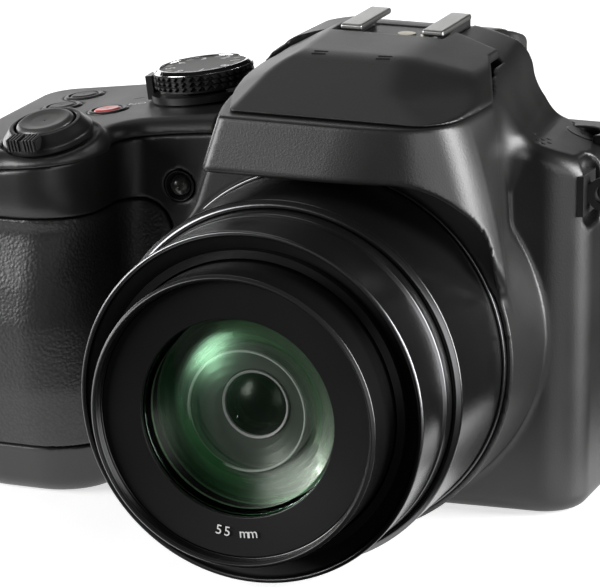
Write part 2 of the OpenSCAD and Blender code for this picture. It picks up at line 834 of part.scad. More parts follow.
module shutter_button() {
  color("gray")
    at_shutter()
      union() {
        translate([0, 0, -3.4])
          cylinder(r = stem_r, h = 6.4);
        translate([0, 0, 2.6])
          rotate_extrude()
            polygon([[0, 0], [shutter_r, 0], [shutter_r, 1.6], [shutter_r - 0.8, 2.3], [0, 2]]);
      }
}

module zoom_lever() {
  r = shutter_r + run_gap;
  color("dimgray")
    at_shutter()
      difference() {
        union() {
          translate([0, 0, 0.2 + run_gap])
            rotate_extrude()
              polygon([[stem_r + run_gap, 0], [9.2, 0], [9.2, 1.4], [r + 1, 3.6], [r, 3.6], [r, 1],
                [stem_r + run_gap, 1]]);
          rotate([0, 0, -98])
            translate([7.2, -3.4, 0.2 + run_gap])
              cube([3, 6.8, 4.2]);
          translate([0, 0, -3.6])
            cylinder(r = lever_hub_r, h = 4.5);
        }
        translate([0, 0, -10])
          cylinder(r = stem_r + run_gap, h = 11.5);
        translate([0, 0, 1.3])
          cylinder(r = r, h = 10);
      }
}

module deck_button(p) {
  at_deck(p)
    union() {
      translate([0, 0, -4.4])
        cylinder(r = button_r, h = 4.9);
      translate([0, 0, -5])
        cylinder(r = button_r + 1.2, h = 1.2);
    }
}
module movie_button() {
  color("red")
    deck_button(movie_at);
}
module drive_button() {
  color("dimgray")
    deck_button(drive_at);
}
module focus_button() {
  color("dimgray")
    deck_button(focus_at);
}

// Rear controls

module rear_dial() {
  p = rear_dial_at;
  color("dimgray")
    z_rod(9, p[0], p[1], p[2], p[2] + 4);
}

module rear_button(p, r) {
  color("dimgray")
    union() {
      y_rod(r, back_y - 4, back_y + 0.7, p[0], p[1]);
      y_rod(r + 1.1, back_y - 5, back_y - 3.6, p[0], p[1]);
    }
}
module play_button() {
  rear_button(play_at, button_r);
}
module lock_button() {
  rear_button(lock_at, button_r);
}
module display_button() {
  rear_button(display_at, button_r);
}
module delete_button() {
  rear_button(delete_at, button_r);
}
module finder_button() {
  rear_button(finder_button_at, 2.6);
}
module cursor_pad() {
  color("dimgray")
    difference() {
      union() {
        y_rod(pad_r, back_y - 4, back_y + 0.9, pad_at[0], pad_at[1]);
        y_rod(pad_r + 1.1, back_y - 5, back_y - 3.6, pad_at[0], pad_at[1]);
      }
      y_rod(4 + run_gap, 10, 40, pad_at[0], pad_at[1]);
    }
}
module set_button() {
  color("dimgray")
    union() {
      y_rod(4, back_y - 6.4, back_y + 1.1, pad_at[0], pad_at[1]);
      y_rod(5.2, back_y - 7.4, back_y - 6.2, pad_at[0], pad_at[1]);
    }
}

// Battery, card, doors and fixings

module battery() {
  color("gray")
    block([battery_x0, battery_y0, battery_z0],
      [battery_x0 + battery_x, battery_y0 + battery_y, battery_z0 + battery_z]);
}

module memory_card() {
  x0 = battery_x0 + battery_x + 0.8;
  color("navy")
    block([x0, -20, battery_z0], [x0 + 2.1, 4, battery_z0 + 32]);
}

module battery_door() {
  z = door_t / 2 + 0.45;
  color("dimgray")
    difference() {
      union() {
        block([door_x0, door_y0, 0.1], [door_x1, door_pin_y, door_t + 0.1]);
        x_rod(1.1, door_x0 + 3, door_x1 - 3, door_pin_y, z);
      }
      x_rod(door_pin_r + shaft_gap, door_x0 - 2, door_x1 + 2, door_pin_y, z);
    }
}

module door_pin() {
  color("silver")
    x_rod(door_pin_r, door_x0 - run_gap + seat_gap, door_x1 + run_gap - seat_gap,
      door_pin_y, door_t / 2 + 0.45);
}

module port_door() {
  x = left_x + port_t / 2 + 0.6;
  color("dimgray")
    difference() {
      union() {
        block([left_x + 0.1, port_y0, port_z0], [left_x + port_t + 0.1, port_y1 - 1.3, port_z1]);
        z_rod(1, x, port_y1 - 1.3, port_z0 + 3, port_z1 - 3);
      }
      z_rod(door_pin_r + shaft_gap, x, port_y1 - 1.3, port_z0 - 3, port_z1 + 3);
    }
}

module port_pin() {
  color("silver")
    z_rod(door_pin_r, left_x + port_t / 2 + 0.6, port_y1 - 1.3,
      port_z0 - run_gap + seat_gap, port_z1 + run_gap - seat_gap);
}

module lug(x, z, m) {
  block([x - 1.6 - m * 2.2, lug_y - 4.1, z - 4.1], [x + 1.6 - m * 2.2, lug_y + 4.1, z + 4.1]);
  block([x - 0.8 - m * 0.6, lug_y - 1, z - 2], [x + 0.8 - m * 0.6, lug_y + 1, z + 2]);
  translate([x + m * 2.6, lug_y - 1, z])
    rotate([-90, 0, 0])
      difference() {
        cylinder(r = 3.4, h = 2);
        translate([0, 0, -1])
          cylinder(r = 1.9, h = 4);
      }
}
module strap_lugs() {
  color("silver")
    union() {
      lug(right_x, lug_z, 1);
      lug(left_x, lug_z - 8, -1);
    }
}

module tripod_socket() {
  color("silver")
    difference() {
      union() {
        z_rod(6, 0, 0, 0, tripod_depth + 1.5);
        z_rod(8.5, 0, 0, wall + seat_gap, wall + 1.4);
      }
      z_rod(tripod_r, 0, 0, -1, tripod_depth);
    }
}

module focus_lamp() {
  color("orange")
    y_rod(3, wall_y(lamp_at[0]) - 0.2, wall_y(lamp_at[0]) + 4, lamp_at[0], lamp_at[1]);
}

module base_screws() {
  color("silver")
    for (p = screw_at)
      union() {
        z_rod(1.6, p[0], p[1], 0.3, 1.6);
        z_rod(0.9, p[0], p[1], 1.5, 6);
      }
}

front_cover();
rear_cover();
top_cover();
front_bezel();
grip_rubber();
thumb_rubber();
lens_housing();
fixed_barrel();
trim_ring();
front_sleeve();
mid_barrel();
zoom_barrel();
name_ring();
front_lens();
second_lens();
rear_lens();
image_sensor();
main_board();
screen_panel();
screen_window();
eyepiece_housing();
eyecup();
eyepiece_lens();
finder_display();
diopter_dial();
flash_cover();
flash_lamp();
flash_bracket();
flash_pin();
flash_button();
shoe_rails();
shoe_base();
mode_dial();
power_lever();
shutter_button();
zoom_lever();
movie_button();
drive_button();
focus_button();
rear_dial();
play_button();
finder_button();
lock_button();
cursor_pad();
set_button();
display_button();
delete_button();
battery();
memory_card();
battery_door();
door_pin();
port_door();
port_pin();
strap_lugs();
tripod_socket();
focus_lamp();
base_screws();
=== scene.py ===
import math

import bmesh
import bpy
import numpy as np
from mathutils import Matrix, Vector


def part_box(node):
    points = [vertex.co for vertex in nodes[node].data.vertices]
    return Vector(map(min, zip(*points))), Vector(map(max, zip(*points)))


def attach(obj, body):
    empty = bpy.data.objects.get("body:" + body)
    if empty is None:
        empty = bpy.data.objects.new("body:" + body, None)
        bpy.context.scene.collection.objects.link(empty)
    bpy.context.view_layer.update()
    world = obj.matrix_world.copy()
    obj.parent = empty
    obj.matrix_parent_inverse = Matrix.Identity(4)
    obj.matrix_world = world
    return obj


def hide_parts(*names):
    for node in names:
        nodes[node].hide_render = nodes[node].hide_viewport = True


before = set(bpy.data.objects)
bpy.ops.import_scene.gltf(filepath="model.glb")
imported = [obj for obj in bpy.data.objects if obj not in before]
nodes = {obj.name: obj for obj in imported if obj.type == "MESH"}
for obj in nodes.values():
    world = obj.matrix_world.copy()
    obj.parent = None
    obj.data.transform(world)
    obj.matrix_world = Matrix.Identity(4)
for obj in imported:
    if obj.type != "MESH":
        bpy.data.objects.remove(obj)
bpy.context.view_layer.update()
scene = bpy.context.scene
MM = 0.001


def box_mm(node):
    """The low and high corner of a solid's box, in millimetres."""
    low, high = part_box(node)
    return np.array(low) / MM, np.array(high) / MM


def middle_mm(node):
    """The middle of a solid's box, in millimetres."""
    low, high = box_mm(node)
    return (low + high) / 2


# Main sizes in millimetres, taken from the solids where they carry them
cover_low, cover_high = box_mm("front_cover")
sleeve_low, sleeve_high = box_mm("front_sleeve")
barrel_low, barrel_high = box_mm("fixed_barrel")
zoom_low, zoom_high = box_mm("zoom_barrel")
flash_low, flash_high = box_mm("flash_cover")
LEFT = cover_low[0]
RIGHT = cover_high[0]
BACK = box_mm("rear_cover")[1][1]
GRIP_FRONT = cover_low[1]
GRIP_RIGHT = LEFT + 35.5
SPLIT = cover_high[1]
DECK = 78.4
DECK_TILT = 8.0
DECK_SLOPE = math.tan(math.radians(DECK_TILT))
SHOULDER_AT = (33.2, -5.7, 76.8)
SHOULDER_FALL = 0.375
SHOULDER_FALL_BACK = 0.11
RIDGE = -30.0
DIAL_X = -40.7
COLLAR_R = 9.2
BUTTON_R = 4.3
LAMP_X = -38.0
LAMP_Z = 63.2
JOINT = DECK - 5
VALLEY_Y = -18.0
FRONT_Y = -12.0
WALL_X0 = LEFT + 34.7
WALL_X1 = RIGHT - 9
SEAM = flash_low[2]
BEZEL_FRONT = box_mm("front_bezel")[0][1]
HUMP_TOP = flash_high[2]
LID_RISE = 0.2798
LID_FRONT = (-45.2, 86.85)
LID_THICK = 1.8
FINDER_TOP = box_mm("top_cover")[1][2]
LENS_Z = (barrel_low[2] + barrel_high[2]) / 2
BARREL_R = (barrel_high[0] - barrel_low[0]) / 2
SLEEVE_R = (sleeve_high[0] - sleeve_low[0]) / 2 - 0.2
ZOOM_R = (zoom_high[0] - zoom_low[0]) / 2
BOSS_FRONT = box_mm("trim_ring")[1][1]
BOSS_R = 38.2
RUBBER_Z0 = box_mm("grip_rubber")[0][2]
RUBBER_Z1 = 59.6
GAP = 0.16
STEP = 0.6


# Camera, placed as the photograph was taken
CAMERA_AT = (0.27774, -0.78873, 0.27498)
CAMERA_AIM = (-0.000323, -0.04805, 0.05241)
camera_data = bpy.data.cameras.new("camera")
camera_data.lens = 255.1
camera_data.sensor_width = 36
camera_data.sensor_fit = "HORIZONTAL"
camera = bpy.data.objects.new("camera", camera_data)
scene.collection.objects.link(camera)
camera.location = CAMERA_AT
camera.rotation_euler = (Vector(CAMERA_AIM) - camera.location).to_track_quat("-Z", "Y").to_euler()
scene.camera = camera
scene.view_settings.view_transform = "Standard"


# Materials
FLOAT = "NodeSocketFloat"
VECTOR = "NodeSocketVector"


def surface_group(name, scale, height):
    """A node group for one kind of surface: its scale and height go in, tone, gloss and normal come out."""
    group = bpy.data.node_groups.new(name, "ShaderNodeTree")
    for socket_name, value in (("Scale", scale), ("Height", height)):
        socket = group.interface.new_socket(socket_name, in_out="INPUT", socket_type=FLOAT)
        socket.default_value = value
    for socket_name, kind in (("Tone", FLOAT), ("Gloss", FLOAT), ("Normal", VECTOR)):
        group.interface.new_socket(socket_name, in_out="OUTPUT", socket_type=kind)
    place = group.nodes.new("ShaderNodeTexCoord").outputs["Object"]
    return group, group.nodes.new("NodeGroupInput"), place


def math_node(tree, kind, a, b=None, clamp=False):
    """A math node; a and b are numbers or sockets."""
    node = tree.nodes.new("ShaderNodeMath")
    node.operation = kind
    node.use_clamp = clamp
    for i, value in enumerate((a, b)):
        if value is None:
            continue
        if isinstance(value, (int, float)):
            node.inputs[i].default_value = value
        else:
            tree.links.new(value, node.inputs[i])
    return node.outputs[0]


def length_node(tree, a, b):
    """Length of a line that goes a one way and b the other."""
    squares = [math_node(tree, "MULTIPLY", side, side) for side in (a, b)]
    return math_node(tree, "SQRT", math_node(tree, "ADD", *squares))


def noise(group, place, scale, detail=2.0):
    """Noise over the surface; scale is a number or a socket."""
    node = group.nodes.new("ShaderNodeTexNoise")
    node.inputs["Detail"].default_value = detail
    group.links.new(place, node.inputs["Vector"])
    if isinstance(scale, float):
        node.inputs["Scale"].default_value = scale
    else:
        group.links.new(scale, node.inputs["Scale"])
    return node.outputs


def close_group(group, put_in, relief, depth, tone, gloss):
    """Links a group's outputs: tone, gloss and the bump of its relief."""
    put_out = group.nodes.new("NodeGroupOutput")
    bump = group.nodes.new("ShaderNodeBump")
    bump.inputs["Distance"].default_value = depth
    group.links.new(put_in.outputs["Height"], bump.inputs["Strength"])
    group.links.new(relief, bump.inputs["Height"])
    group.links.new(tone, put_out.inputs["Tone"])
    group.links.new(gloss, put_out.inputs["Gloss"])
    group.links.new(bump.outputs["Normal"], put_out.inputs["Normal"])
    return group


def uneven(group, value, reach):
    """A value from 0 to 1 as a small change to both sides of none."""
    return math_node(group, "MULTIPLY", math_node(group, "SUBTRACT", value, 0.5), reach)


def grain_group():
    """Fine moulded texture: a bump, and a slow change of tone and gloss."""
    group, put_in, place = surface_group("fine_grain", 2600.0, 0.2)
    fine = noise(group, place, put_in.outputs["Scale"])["Fac"]
    slow = noise(group, place, 60.0, 3.0)["Fac"]
    mixed = math_node(group, "ADD", math_node(group, "MULTIPLY", fine, 0.35),
                      math_node(group, "MULTIPLY", slow, 0.15))
    tone = math_node(group, "ADD", mixed, 0.75)
    return close_group(group, put_in, fine, 0.00008, tone, uneven(group, slow, 0.16))


def pebble_group():
    """Leather-like pebbles of the grip: a bump, and painted shade that darkens the hollows between the
    pebbles.
    """
    group, put_in, place = surface_group("pebbles", 1500.0, 0.4)
    bent = group.nodes.new("ShaderNodeVectorMath")
    bent.operation = "MULTIPLY_ADD"
    bent.inputs[1].default_value = (0.0006, 0.0006, 0.0006)
    group.links.new(noise(group, place, 700.0)["Color"], bent.inputs[0])
    group.links.new(place, bent.inputs[2])
    cell = group.nodes.new("ShaderNodeTexVoronoi")
    cell.feature = "SMOOTH_F1"
    cell.inputs["Smoothness"].default_value = 0.35
    group.links.new(bent.outputs[0], cell.inputs["Vector"])
    group.links.new(put_in.outputs["Scale"], cell.inputs["Scale"])
    rise = math_node(group, "SUBTRACT", 0.8, cell.outputs["Distance"], clamp=True)
    # Painted shade: the tone follows the relief, darker in the hollows between the pebbles.
    tone = math_node(group, "ADD", math_node(group, "MULTIPLY", rise, 0.7), 0.6)
    return close_group(group, put_in, rise, 0.00022, tone, math_node(group, "MULTIPLY", rise, -0.1))


def turned_group():
    """Faint lathe lines round the lens axis."""
    group, put_in, place = surface_group("turned_lines", 5200.0, 0.1)
    split = group.nodes.new("ShaderNodeSeparateXYZ")
    group.links.new(place, split.inputs[0])
    up = math_node(group, "SUBTRACT", split.outputs["Z"], LENS_Z * MM)
    join = group.nodes.new("ShaderNodeCombineXYZ")
    group.links.new(length_node(group, split.outputs["X"], up), join.inputs["X"])
    group.links.new(split.outputs["Y"], join.inputs["Y"])
    line = noise(group, join.outputs[0], put_in.outputs["Scale"])["Fac"]
    slow = noise(group, place, 45.0)["Fac"]
    tone = math_node(group, "ADD", math_node(group, "MULTIPLY", line, 0.3), 0.85)
    return close_group(group, put_in, line, 0.00004, tone, uneven(group, slow, 0.1))


GRAIN = grain_group()
PEBBLE = pebble_group()
TURNED = turned_group()


def material(name, colour, rough, group=GRAIN, scale=None, height=None, metal=0.0, specular=0.5, coat=0.0):
    """One surface: a base colour with the group's tone, its gloss change and its bump."""
    mat = bpy.data.materials.new(name)
    mat.use_nodes = True
    tree = mat.node_tree
    shader = tree.nodes["Principled BSDF"]
    surface_node = tree.nodes.new("ShaderNodeGroup")
    surface_node.node_tree = group
    if scale is not None:
        surface_node.inputs["Scale"].default_value = scale
    if height is not None:
        surface_node.inputs["Height"].default_value = height
    tint = tree.nodes.new("ShaderNodeMix")
    tint.data_type = "RGBA"
    tint.blend_type = "MULTIPLY"
    tint.inputs["Factor"].default_value = 1.0
    tint.inputs[6].default_value = (*colour, 1)
    tree.links.new(surface_node.outputs["Tone"], tint.inputs[7])
    tree.links.new(tint.outputs[2], shader.inputs["Base Color"])
    tree.links.new(math_node(tree, "ADD", surface_node.outputs["Gloss"], rough), shader.inputs["Roughness"])
    tree.links.new(surface_node.outputs["Normal"], shader.inputs["Normal"])
    shader.inputs["Metallic"].default_value = metal
    shader.inputs["Specular IOR Level"].default_value = specular
    shader.inputs["Coat Weight"].default_value = coat
    shader.inputs["Coat Roughness"].default_value = 0.2
    return mat


M_BODY = material("body_plastic", (0.011, 0.011, 0.0107), 0.4, height=0.35, specular=0.75)
M_DECK = material("deck_plastic", (0.017, 0.017, 0.0165), 0.43, height=0.3, specular=0.6)


def darken_round(mat, middle, reach, share):
    """Darkens a surface inside a circle seen from above."""
    tree = mat.node_tree
    tint = [n for n in tree.nodes if n.type == "MIX"][0]
    place = tree.nodes.new("ShaderNodeTexCoord").outputs["Object"]
    split = tree.nodes.new("ShaderNodeSeparateXYZ")
    tree.links.new(place, split.inputs[0])
    dx = math_node(tree, "SUBTRACT", split.outputs["X"], middle[0] * MM)
    dy = math_node(tree, "SUBTRACT", split.outputs["Y"], middle[1] * MM)
    inside = math_node(tree, "LESS_THAN", length_node(tree, dx, dy), reach * MM)
    shade = math_node(tree, "SUBTRACT", 1.0, math_node(tree, "MULTIPLY", inside, 1 - share))
    tone = tint.inputs[7].links[0].from_socket
    tree.links.new(math_node(tree, "MULTIPLY", tone, shade), tint.inputs[7])


darken_round(M_DECK, (DIAL_X, 5.0), 19.5, 0.4)
M_RUBBER = material("grip_rubber", (0.014, 0.014, 0.0137), 0.5, PEBBLE, specular=0.75)
M_SOFT = material("soft_rubber", (0.02, 0.02, 0.02), 0.7, scale=1800.0, height=0.3)
M_BARREL = material("barrel_black", (0.005, 0.005, 0.005), 0.24, TURNED, specular=0.9)
M_EDGE = material("polished_edge", (0.16, 0.16, 0.165), 0.3, TURNED, metal=1.0, height=0.05)
M_RIM = material("grey_rim", (0.04, 0.04, 0.04), 0.34, TURNED, metal=0.6)
M_RING = material("name_ring_grey", (0.0065, 0.0065, 0.0066), 0.36, TURNED, scale=2600.0)
M_INNER = material("inner_black", (0.002, 0.002, 0.002), 0.6, height=0.2)
M_METAL = material("bright_metal", (0.5, 0.5, 0.49), 0.34, scale=4200.0, height=0.12, metal=1.0)
M_CHROME = material("chrome_rim", (0.78, 0.78, 0.78), 0.16, scale=5000.0, height=0.05, metal=1.0)
M_SHUTTER = material("shutter_metal", (0.09, 0.09, 0.088), 0.38, scale=4500.0, height=0.15, metal=0.5)
M_CONTROL = material("control_black", (0.016, 0.016, 0.016), 0.36, height=0.15)
M_DIALTOP = material("dial_top", (0.075, 0.075, 0.072), 0.5, scale=3400.0, height=0.3)
M_WHITE = material("white_mark", (0.78, 0.78, 0.76), 0.5, height=0.1)
M_GREYMARK = material("grey_mark", (0.3, 0.3, 0.29), 0.5, height=0.1)
M_RED = material("red_button", (0.6, 0.03, 0.025), 0.35, height=0.1, coat=0.4)
M_SCREEN = material("screen_glass", (0.006, 0.007, 0.008), 0.08, scale=900.0, height=0.01, coat=0.6)
M_BOARD = material("board_green", (0.02, 0.09, 0.04), 0.5, height=0.2)
M_LAMP = material("focus_lamp_lens", (0.05, 0.048, 0.045), 0.12, scale=900.0, height=0.03, coat=0.8)
# Baffle: a dark grey part of its own, made a little lighter and green-tinted as a painted reflection of the
# lens coating.
M_BAFFLE_PAINTED_REFLECTION = material("baffle_grey_painted_reflection", (0.07, 0.08, 0.07), 0.45, TURNED, height=0.04)
M_RINGLINE = material("inner_ring_grey", (0.42, 0.43, 0.42), 0.4, TURNED, height=0.05)
M_LEVER = material("lever_black", (0.008, 0.008, 0.008), 0.3, height=0.1)
M_LUG = material("lug_metal", (0.1, 0.1, 0.1), 0.36, scale=4200.0, height=0.12, metal=0.8)
M_CONTACT = material("contact_gold", (0.5, 0.46, 0.36), 0.3, scale=4200.0, height=0.1, metal=1.0)


def glass_material(name, tint, strength, haze=0.03):
    """Coated glass: clear straight through, with a tinted mirror image that grows towards the rim."""
    mat = material(name, (0.0, 0.0, 0.0), 0.02, scale=300.0, height=0.002)
    tree = mat.node_tree
    tree.nodes.remove(tree.nodes["Principled BSDF"])
    group_node = [n for n in tree.nodes if n.type == "GROUP"][0]
    clear = tree.nodes.new("ShaderNodeBsdfTransparent")
    mirror = tree.nodes.new("ShaderNodeBsdfGlossy")
    mirror.inputs["Color"].default_value = (*tint, 1)
    mirror.inputs["Roughness"].default_value = haze
    tree.links.new(group_node.outputs["Normal"], mirror.inputs["Normal"])
    edge = tree.nodes.new("ShaderNodeFresnel")
    edge.inputs["IOR"].default_value = 1.45
    mix = tree.nodes.new("ShaderNodeMixShader")
    tree.links.new(math_node(tree, "MULTIPLY", edge.outputs[0], strength, clamp=True), mix.inputs[0])
    tree.links.new(clear.outputs[0], mix.inputs[1])
    tree.links.new(mirror.outputs[0], mix.inputs[2])
    tree.links.new(mix.outputs[0], tree.nodes["Material Output"].inputs["Surface"])
    return mat


M_GLASS = glass_material("lens_glass", (0.75, 0.85, 0.8), 0.5)
M_GLASS_INNER = glass_material("lens_glass_inner", (0.42, 0.8, 0.5), 2.0, 0.24)
M_GLASS_DEEP = glass_material("lens_glass_deep", (0.7, 0.8, 0.68), 0.75, 0.26)


# Mesh helpers
def place_mesh(name, points, faces, mat, body="camera_body", hides=(), mats=(), smooth=True):
    """Makes one piece from points in millimetres and lets it ride a body."""
    mesh = bpy.data.meshes.new(name)
    mesh.from_pydata((np.asarray(points, float) * MM).tolist(), [], [list(f) for f in faces])
    for each in (mat, *mats):
        mesh.materials.append(each)
    if smooth:
        mesh.shade_smooth()
    mesh.update()
    obj = bpy.data.objects.new(name, mesh)
    scene.collection.objects.link(obj)
    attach(obj, body)
    for node in hides:
        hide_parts(node)
    return obj


def turn_outward(obj):
    """Lets all faces of a piece look outward."""
    work = bmesh.new()
    work.from_mesh(obj.data)
    bmesh.ops.recalc_face_normals(work, faces=work.faces)
    work.to_mesh(obj.data)
    work.free()


def soft_profile(points, r=0.25, arc=3, hold=1.15):
    """A closed outline with each corner rounded, and a holding point beside each round."""
    points = [np.array(p, float) for p in points]
    out = []
    for before, here, after in zip(points[-1:] + points[:-1], points, points[1:] + points[:1]):
        far_before = np.linalg.norm(before - here)
        far_after = np.linalg.norm(after - here)
        cut = min(r, 0.42 * far_before, 0.42 * far_after)
        to_before = (before - here) / far_before * cut
        to_after = (after - here) / far_after * cut
        out.append(here + to_before * hold)
        for k in range(arc + 1):
            t = k / arc
            out.append((1 - t) ** 2 * (here + to_before) + 2 * t * (1 - t) * here + t * t * (here + to_after))
        out.append(here + to_after * hold)
    return out


def moved(points, turn):
    """Points taken to a place."""
    turn = np.array(turn)
    return np.asarray(points, float) @ turn[:3, :3].T + turn[:3, 3]


def ring_faces(rings, turns):
    """Faces of a closed tube of rings, each with the numbers of its two rings."""
    for i in range(rings):
        j = (i + 1) % rings
        for k in range(turns):
            n = (k + 1) % turns
            yield i, j, (i * turns + k, i * turns + n, j * turns + n, j * turns + k)


def lathe(name, outline, mat, body="camera_body", hides=(), turns=176, r=0.25,
          spin=None, mats=(), pick=None):
    """Turns a closed outline of (radius, along) round the lens axis, or round spin's Z axis."""
    outline = soft_profile(outline, r)
    rings = len(outline)
    angle = np.arange(turns) * 2 * math.pi / turns
    radius = np.array([max(p[0], 0.0) for p in outline])
    along = np.array([p[1] for p in outline])
    grid = np.zeros((rings, turns, 3))
    grid[..., 0] = radius[:, None] * np.cos(angle)
    grid[..., 1] = radius[:, None] * np.sin(angle)
    grid[..., 2] = along[:, None]
    points = grid.reshape(-1, 3)
    if spin is None:
        points = np.stack([points[:, 0], points[:, 2], LENS_Z + points[:, 1]], 1)
    else:
        points = moved(points, spin)
    faces = []
    marks = []
    for i, j, face in ring_faces(rings, turns):
        if max(radius[i], radius[j]) >= 1e-6:
            faces.append(face)
            marks.append(pick((outline[i] + outline[j]) / 2) if pick else 0)
    obj = place_mesh(name, points, faces, mat, body, hides, mats)
    work = bmesh.new()
    work.from_mesh(obj.data)
    for face, mark in zip(work.faces, marks):
        face.material_index = mark
    bmesh.ops.remove_doubles(work, verts=work.verts, dist=1e-7)
    bmesh.ops.dissolve_degenerate(work, dist=1e-8, edges=work.edges)
    bmesh.ops.recalc_face_normals(work, faces=work.faces)
    work.to_mesh(obj.data)
    work.free()
    obj.data.shade_smooth()
    return obj


# Solid shapes as distance fields, in millimetres
def rmax(a, b, r):
    """Where two shapes overlap, with the edge rounded by r."""
    return np.minimum(-r, np.maximum(a, b)) + np.hypot(np.maximum(a + r, 0), np.maximum(b + r, 0))


def rmin(a, b, r):
    """Two shapes joined, with the inner corner filled by r."""
    return np.maximum(r, np.minimum(a, b)) - np.hypot(np.maximum(r - a, 0), np.maximum(r - b, 0))


def smax(a, b, k):
    """Like rmax, with a softer edge about k wide."""
    h = np.maximum(k - np.abs(a - b), 0) / k
    return np.maximum(a, b) + h * h * k / 4


def smin(a, b, k):
    """Like rmin, with a softer corner about k wide."""
    return -smax(-a, -b, k)


def block_field(x, y, z, low, high, r=0.0):
    """A block between two corners, its edges rounded by r."""
    a = np.maximum(low[0] - x, x - high[0])
    b = np.maximum(low[1] - y, y - high[1])
    c = np.maximum(low[2] - z, z - high[2])
    if r == 0:
        return np.maximum(np.maximum(a, b), c)
    return rmax(rmax(a, b, r), c, r)


# How far the grip's front lies behind its foremost line, by height
GRIP_Z = [0, 8, 24, 38, 46, 52, 56.5, 59.5, 62, 66, 72, 80]
GRIP_IN = [9.5, 7, 1.5, 0, 0.9, 2.6, 3.6, 2.2, 0.9, 0.2, 0, 0]
grip_heights = np.arange(-10, 100, 0.25)
grip_blur = np.exp(-np.linspace(-2.5, 2.5, 25) ** 2)
grip_insets = np.convolve(np.pad(np.interp(grip_heights, GRIP_Z, GRIP_IN), 12, mode="edge"),
                          grip_blur / grip_blur.sum(), mode="valid")


def wall_at(x):
    """How far forward the front wall beside the grip stands."""
    return VALLEY_Y + (x - WALL_X0) * (FRONT_Y - VALLEY_Y) / (WALL_X1 - WALL_X0)


def deck_at(x, y):
    """Height of the top: the left deck, the middle and the right shoulder that falls away."""
    left = DECK + DECK_SLOPE * (x - RIDGE)
    right = SHOULDER_AT[2] - SHOULDER_FALL * (x - SHOULDER_AT[0]) - SHOULDER_FALL_BACK * (y - SHOULDER_AT[1])
    return smin(smin(left, DECK + 0 * x, 2.0), right, 4.0)


def body_field(x, y, z):
    """The plain body with its grip, without the block above the lens."""
    grip = GRIP_FRONT + np.interp(z, grip_heights, grip_insets)
    front = rmin(wall_at(x) - y, rmax(x - GRIP_RIGHT, grip - y, 13), 5)
    left = LEFT - x
    right = x - RIGHT
    back = y - BACK
    plan = np.maximum(np.maximum(rmax(left, front, 15), rmax(left, back, 8)),
                      np.maximum(rmax(right, back, 6), rmax(right, front, 9)))
    return rmax(rmax(plan, z - deck_at(x, y), 3.5), -z, 3.5)


# Places of the controls, in millimetres
def shift(x, y, z):
    return Matrix.Translation((x, y, z))


def turned(axis, degrees):
    return Matrix.Rotation(math.radians(degrees), 4, axis)


def spin_z(degrees):
    return turned("Z", degrees)


def deck_turn(x, y):
    """A place on the sloping left deck, with Z square to it."""
    return shift(x, y, DECK + DECK_SLOPE * (x - RIDGE)) @ turned("Y", -DECK_TILT)


def button_turn(middle):
    """The place of a small button on that deck."""
    return deck_turn(middle[0] - 0.4, middle[1])


shutter_turn = deck_turn(-59.6, -32.6) @ turned("X", 12)
dial_turn = deck_turn(DIAL_X, middle_mm("mode_dial")[1])
movie_mid = middle_mm("movie_button")
drive_mid = middle_mm("drive_button")
focus_mid = middle_mm("focus_button")
flash_mid = middle_mm("flash_button")
finder_mid = middle_mm("finder_button")


def local(turn, x, y, z):
    """The same points as seen from a place."""
    back = np.array(turn.inverted())
    return [row[0] * x + row[1] * y + row[2] * z + row[3] for row in back[:3]]


def right_plan(side, y):
    """Right-hand outline of the block above the lens, seen from above: corner, cheek, flank, long side."""
    corner = 0.316 * (side - 23.5) - 0.949 * (y + 46)
    cheek = 0.731 * (side - 27.7) - 0.682 * (y + 41.5)
    flank = 0.978 * (side - 29.5) - 0.207 * (y + 33)
    long_side = side - 30.0 + 0.13 * np.maximum(0, y + 22)
    return smax(smax(smax(corner, cheek, 3), flank, 3), long_side, 3)


def left_plan(side, y):
    """Left-hand outline of the block: a sharp front corner, then a long easy bend."""
    ahead = 0.954 * (side - 17.2) - 0.3 * (y + 47.9)
    middle = 0.987 * (side - 20.6) - 0.161 * (y + 37.1)
    behind = 0.993 * (side - 23.4) - 0.116 * (y + 19.9)
    return smax(smax(smax(ahead, middle, 1.5), behind, 2), side - 26.0 + 0.13 * np.maximum(0, y - 4), 2)


def hump_field(x, y, z):
    """The block above the lens and the finder housing behind it, wider towards its foot."""
    below = np.clip(SEAM - z, 0, 40)
    spread = (0.35 * below - 0.0028 * below ** 2) * np.clip((-16 - y) / 18, 0.25, 1)
    front = 0.98 * (BEZEL_FRONT - y - 0.2 * np.clip(SEAM - z, 0, 11) + 0.75 * np.maximum(0, 75 - z))
    left = left_plan(-x - 0.32 * below, y)
    plan = smax(smax(front, right_plan(x - spread, y), 3), left, 1.2)
    start = np.where(x < 0, 16.5, 14.0)
    roof = 0.376 * (np.abs(x) - start) + 0.927 * (z - FINDER_TOP - 0.5)
    top = smax(z - FINDER_TOP - 0.5, roof, 3)
    shape = rmax(plan, top, np.where(y < -20, 1.5, 4))
    shape = rmax(shape, y - BACK, 4)
    return np.maximum(shape, 40 - z)


def outer_field(x, y, z):
    """Body, block and lens boss in one, with the hood hollowed out above the lens."""
    fillet = np.where(x < 0, 4.0, np.clip(1.2 + 0.6 * (z - 67), 1.2, 8))
    shape = rmin(body_field(x, y, z), hump_field(x, y, z), fillet)
    across = np.hypot(x, z - LENS_Z)
    boss = np.maximum(across - BOSS_R, BOSS_FRONT - y)
    shape = rmin(shape, rmax(boss, y, 1), 1)
    arch = rmax(np.abs(x + 0.6) - 35.4, z - 75.4, 17)
    hood = np.maximum(np.minimum(arch, across - BARREL_R - 0.9), y - BOSS_FRONT + 0.4)
    return rmax(rmax(shape, -hood, 1.0), 0.05 - z, 0.6)


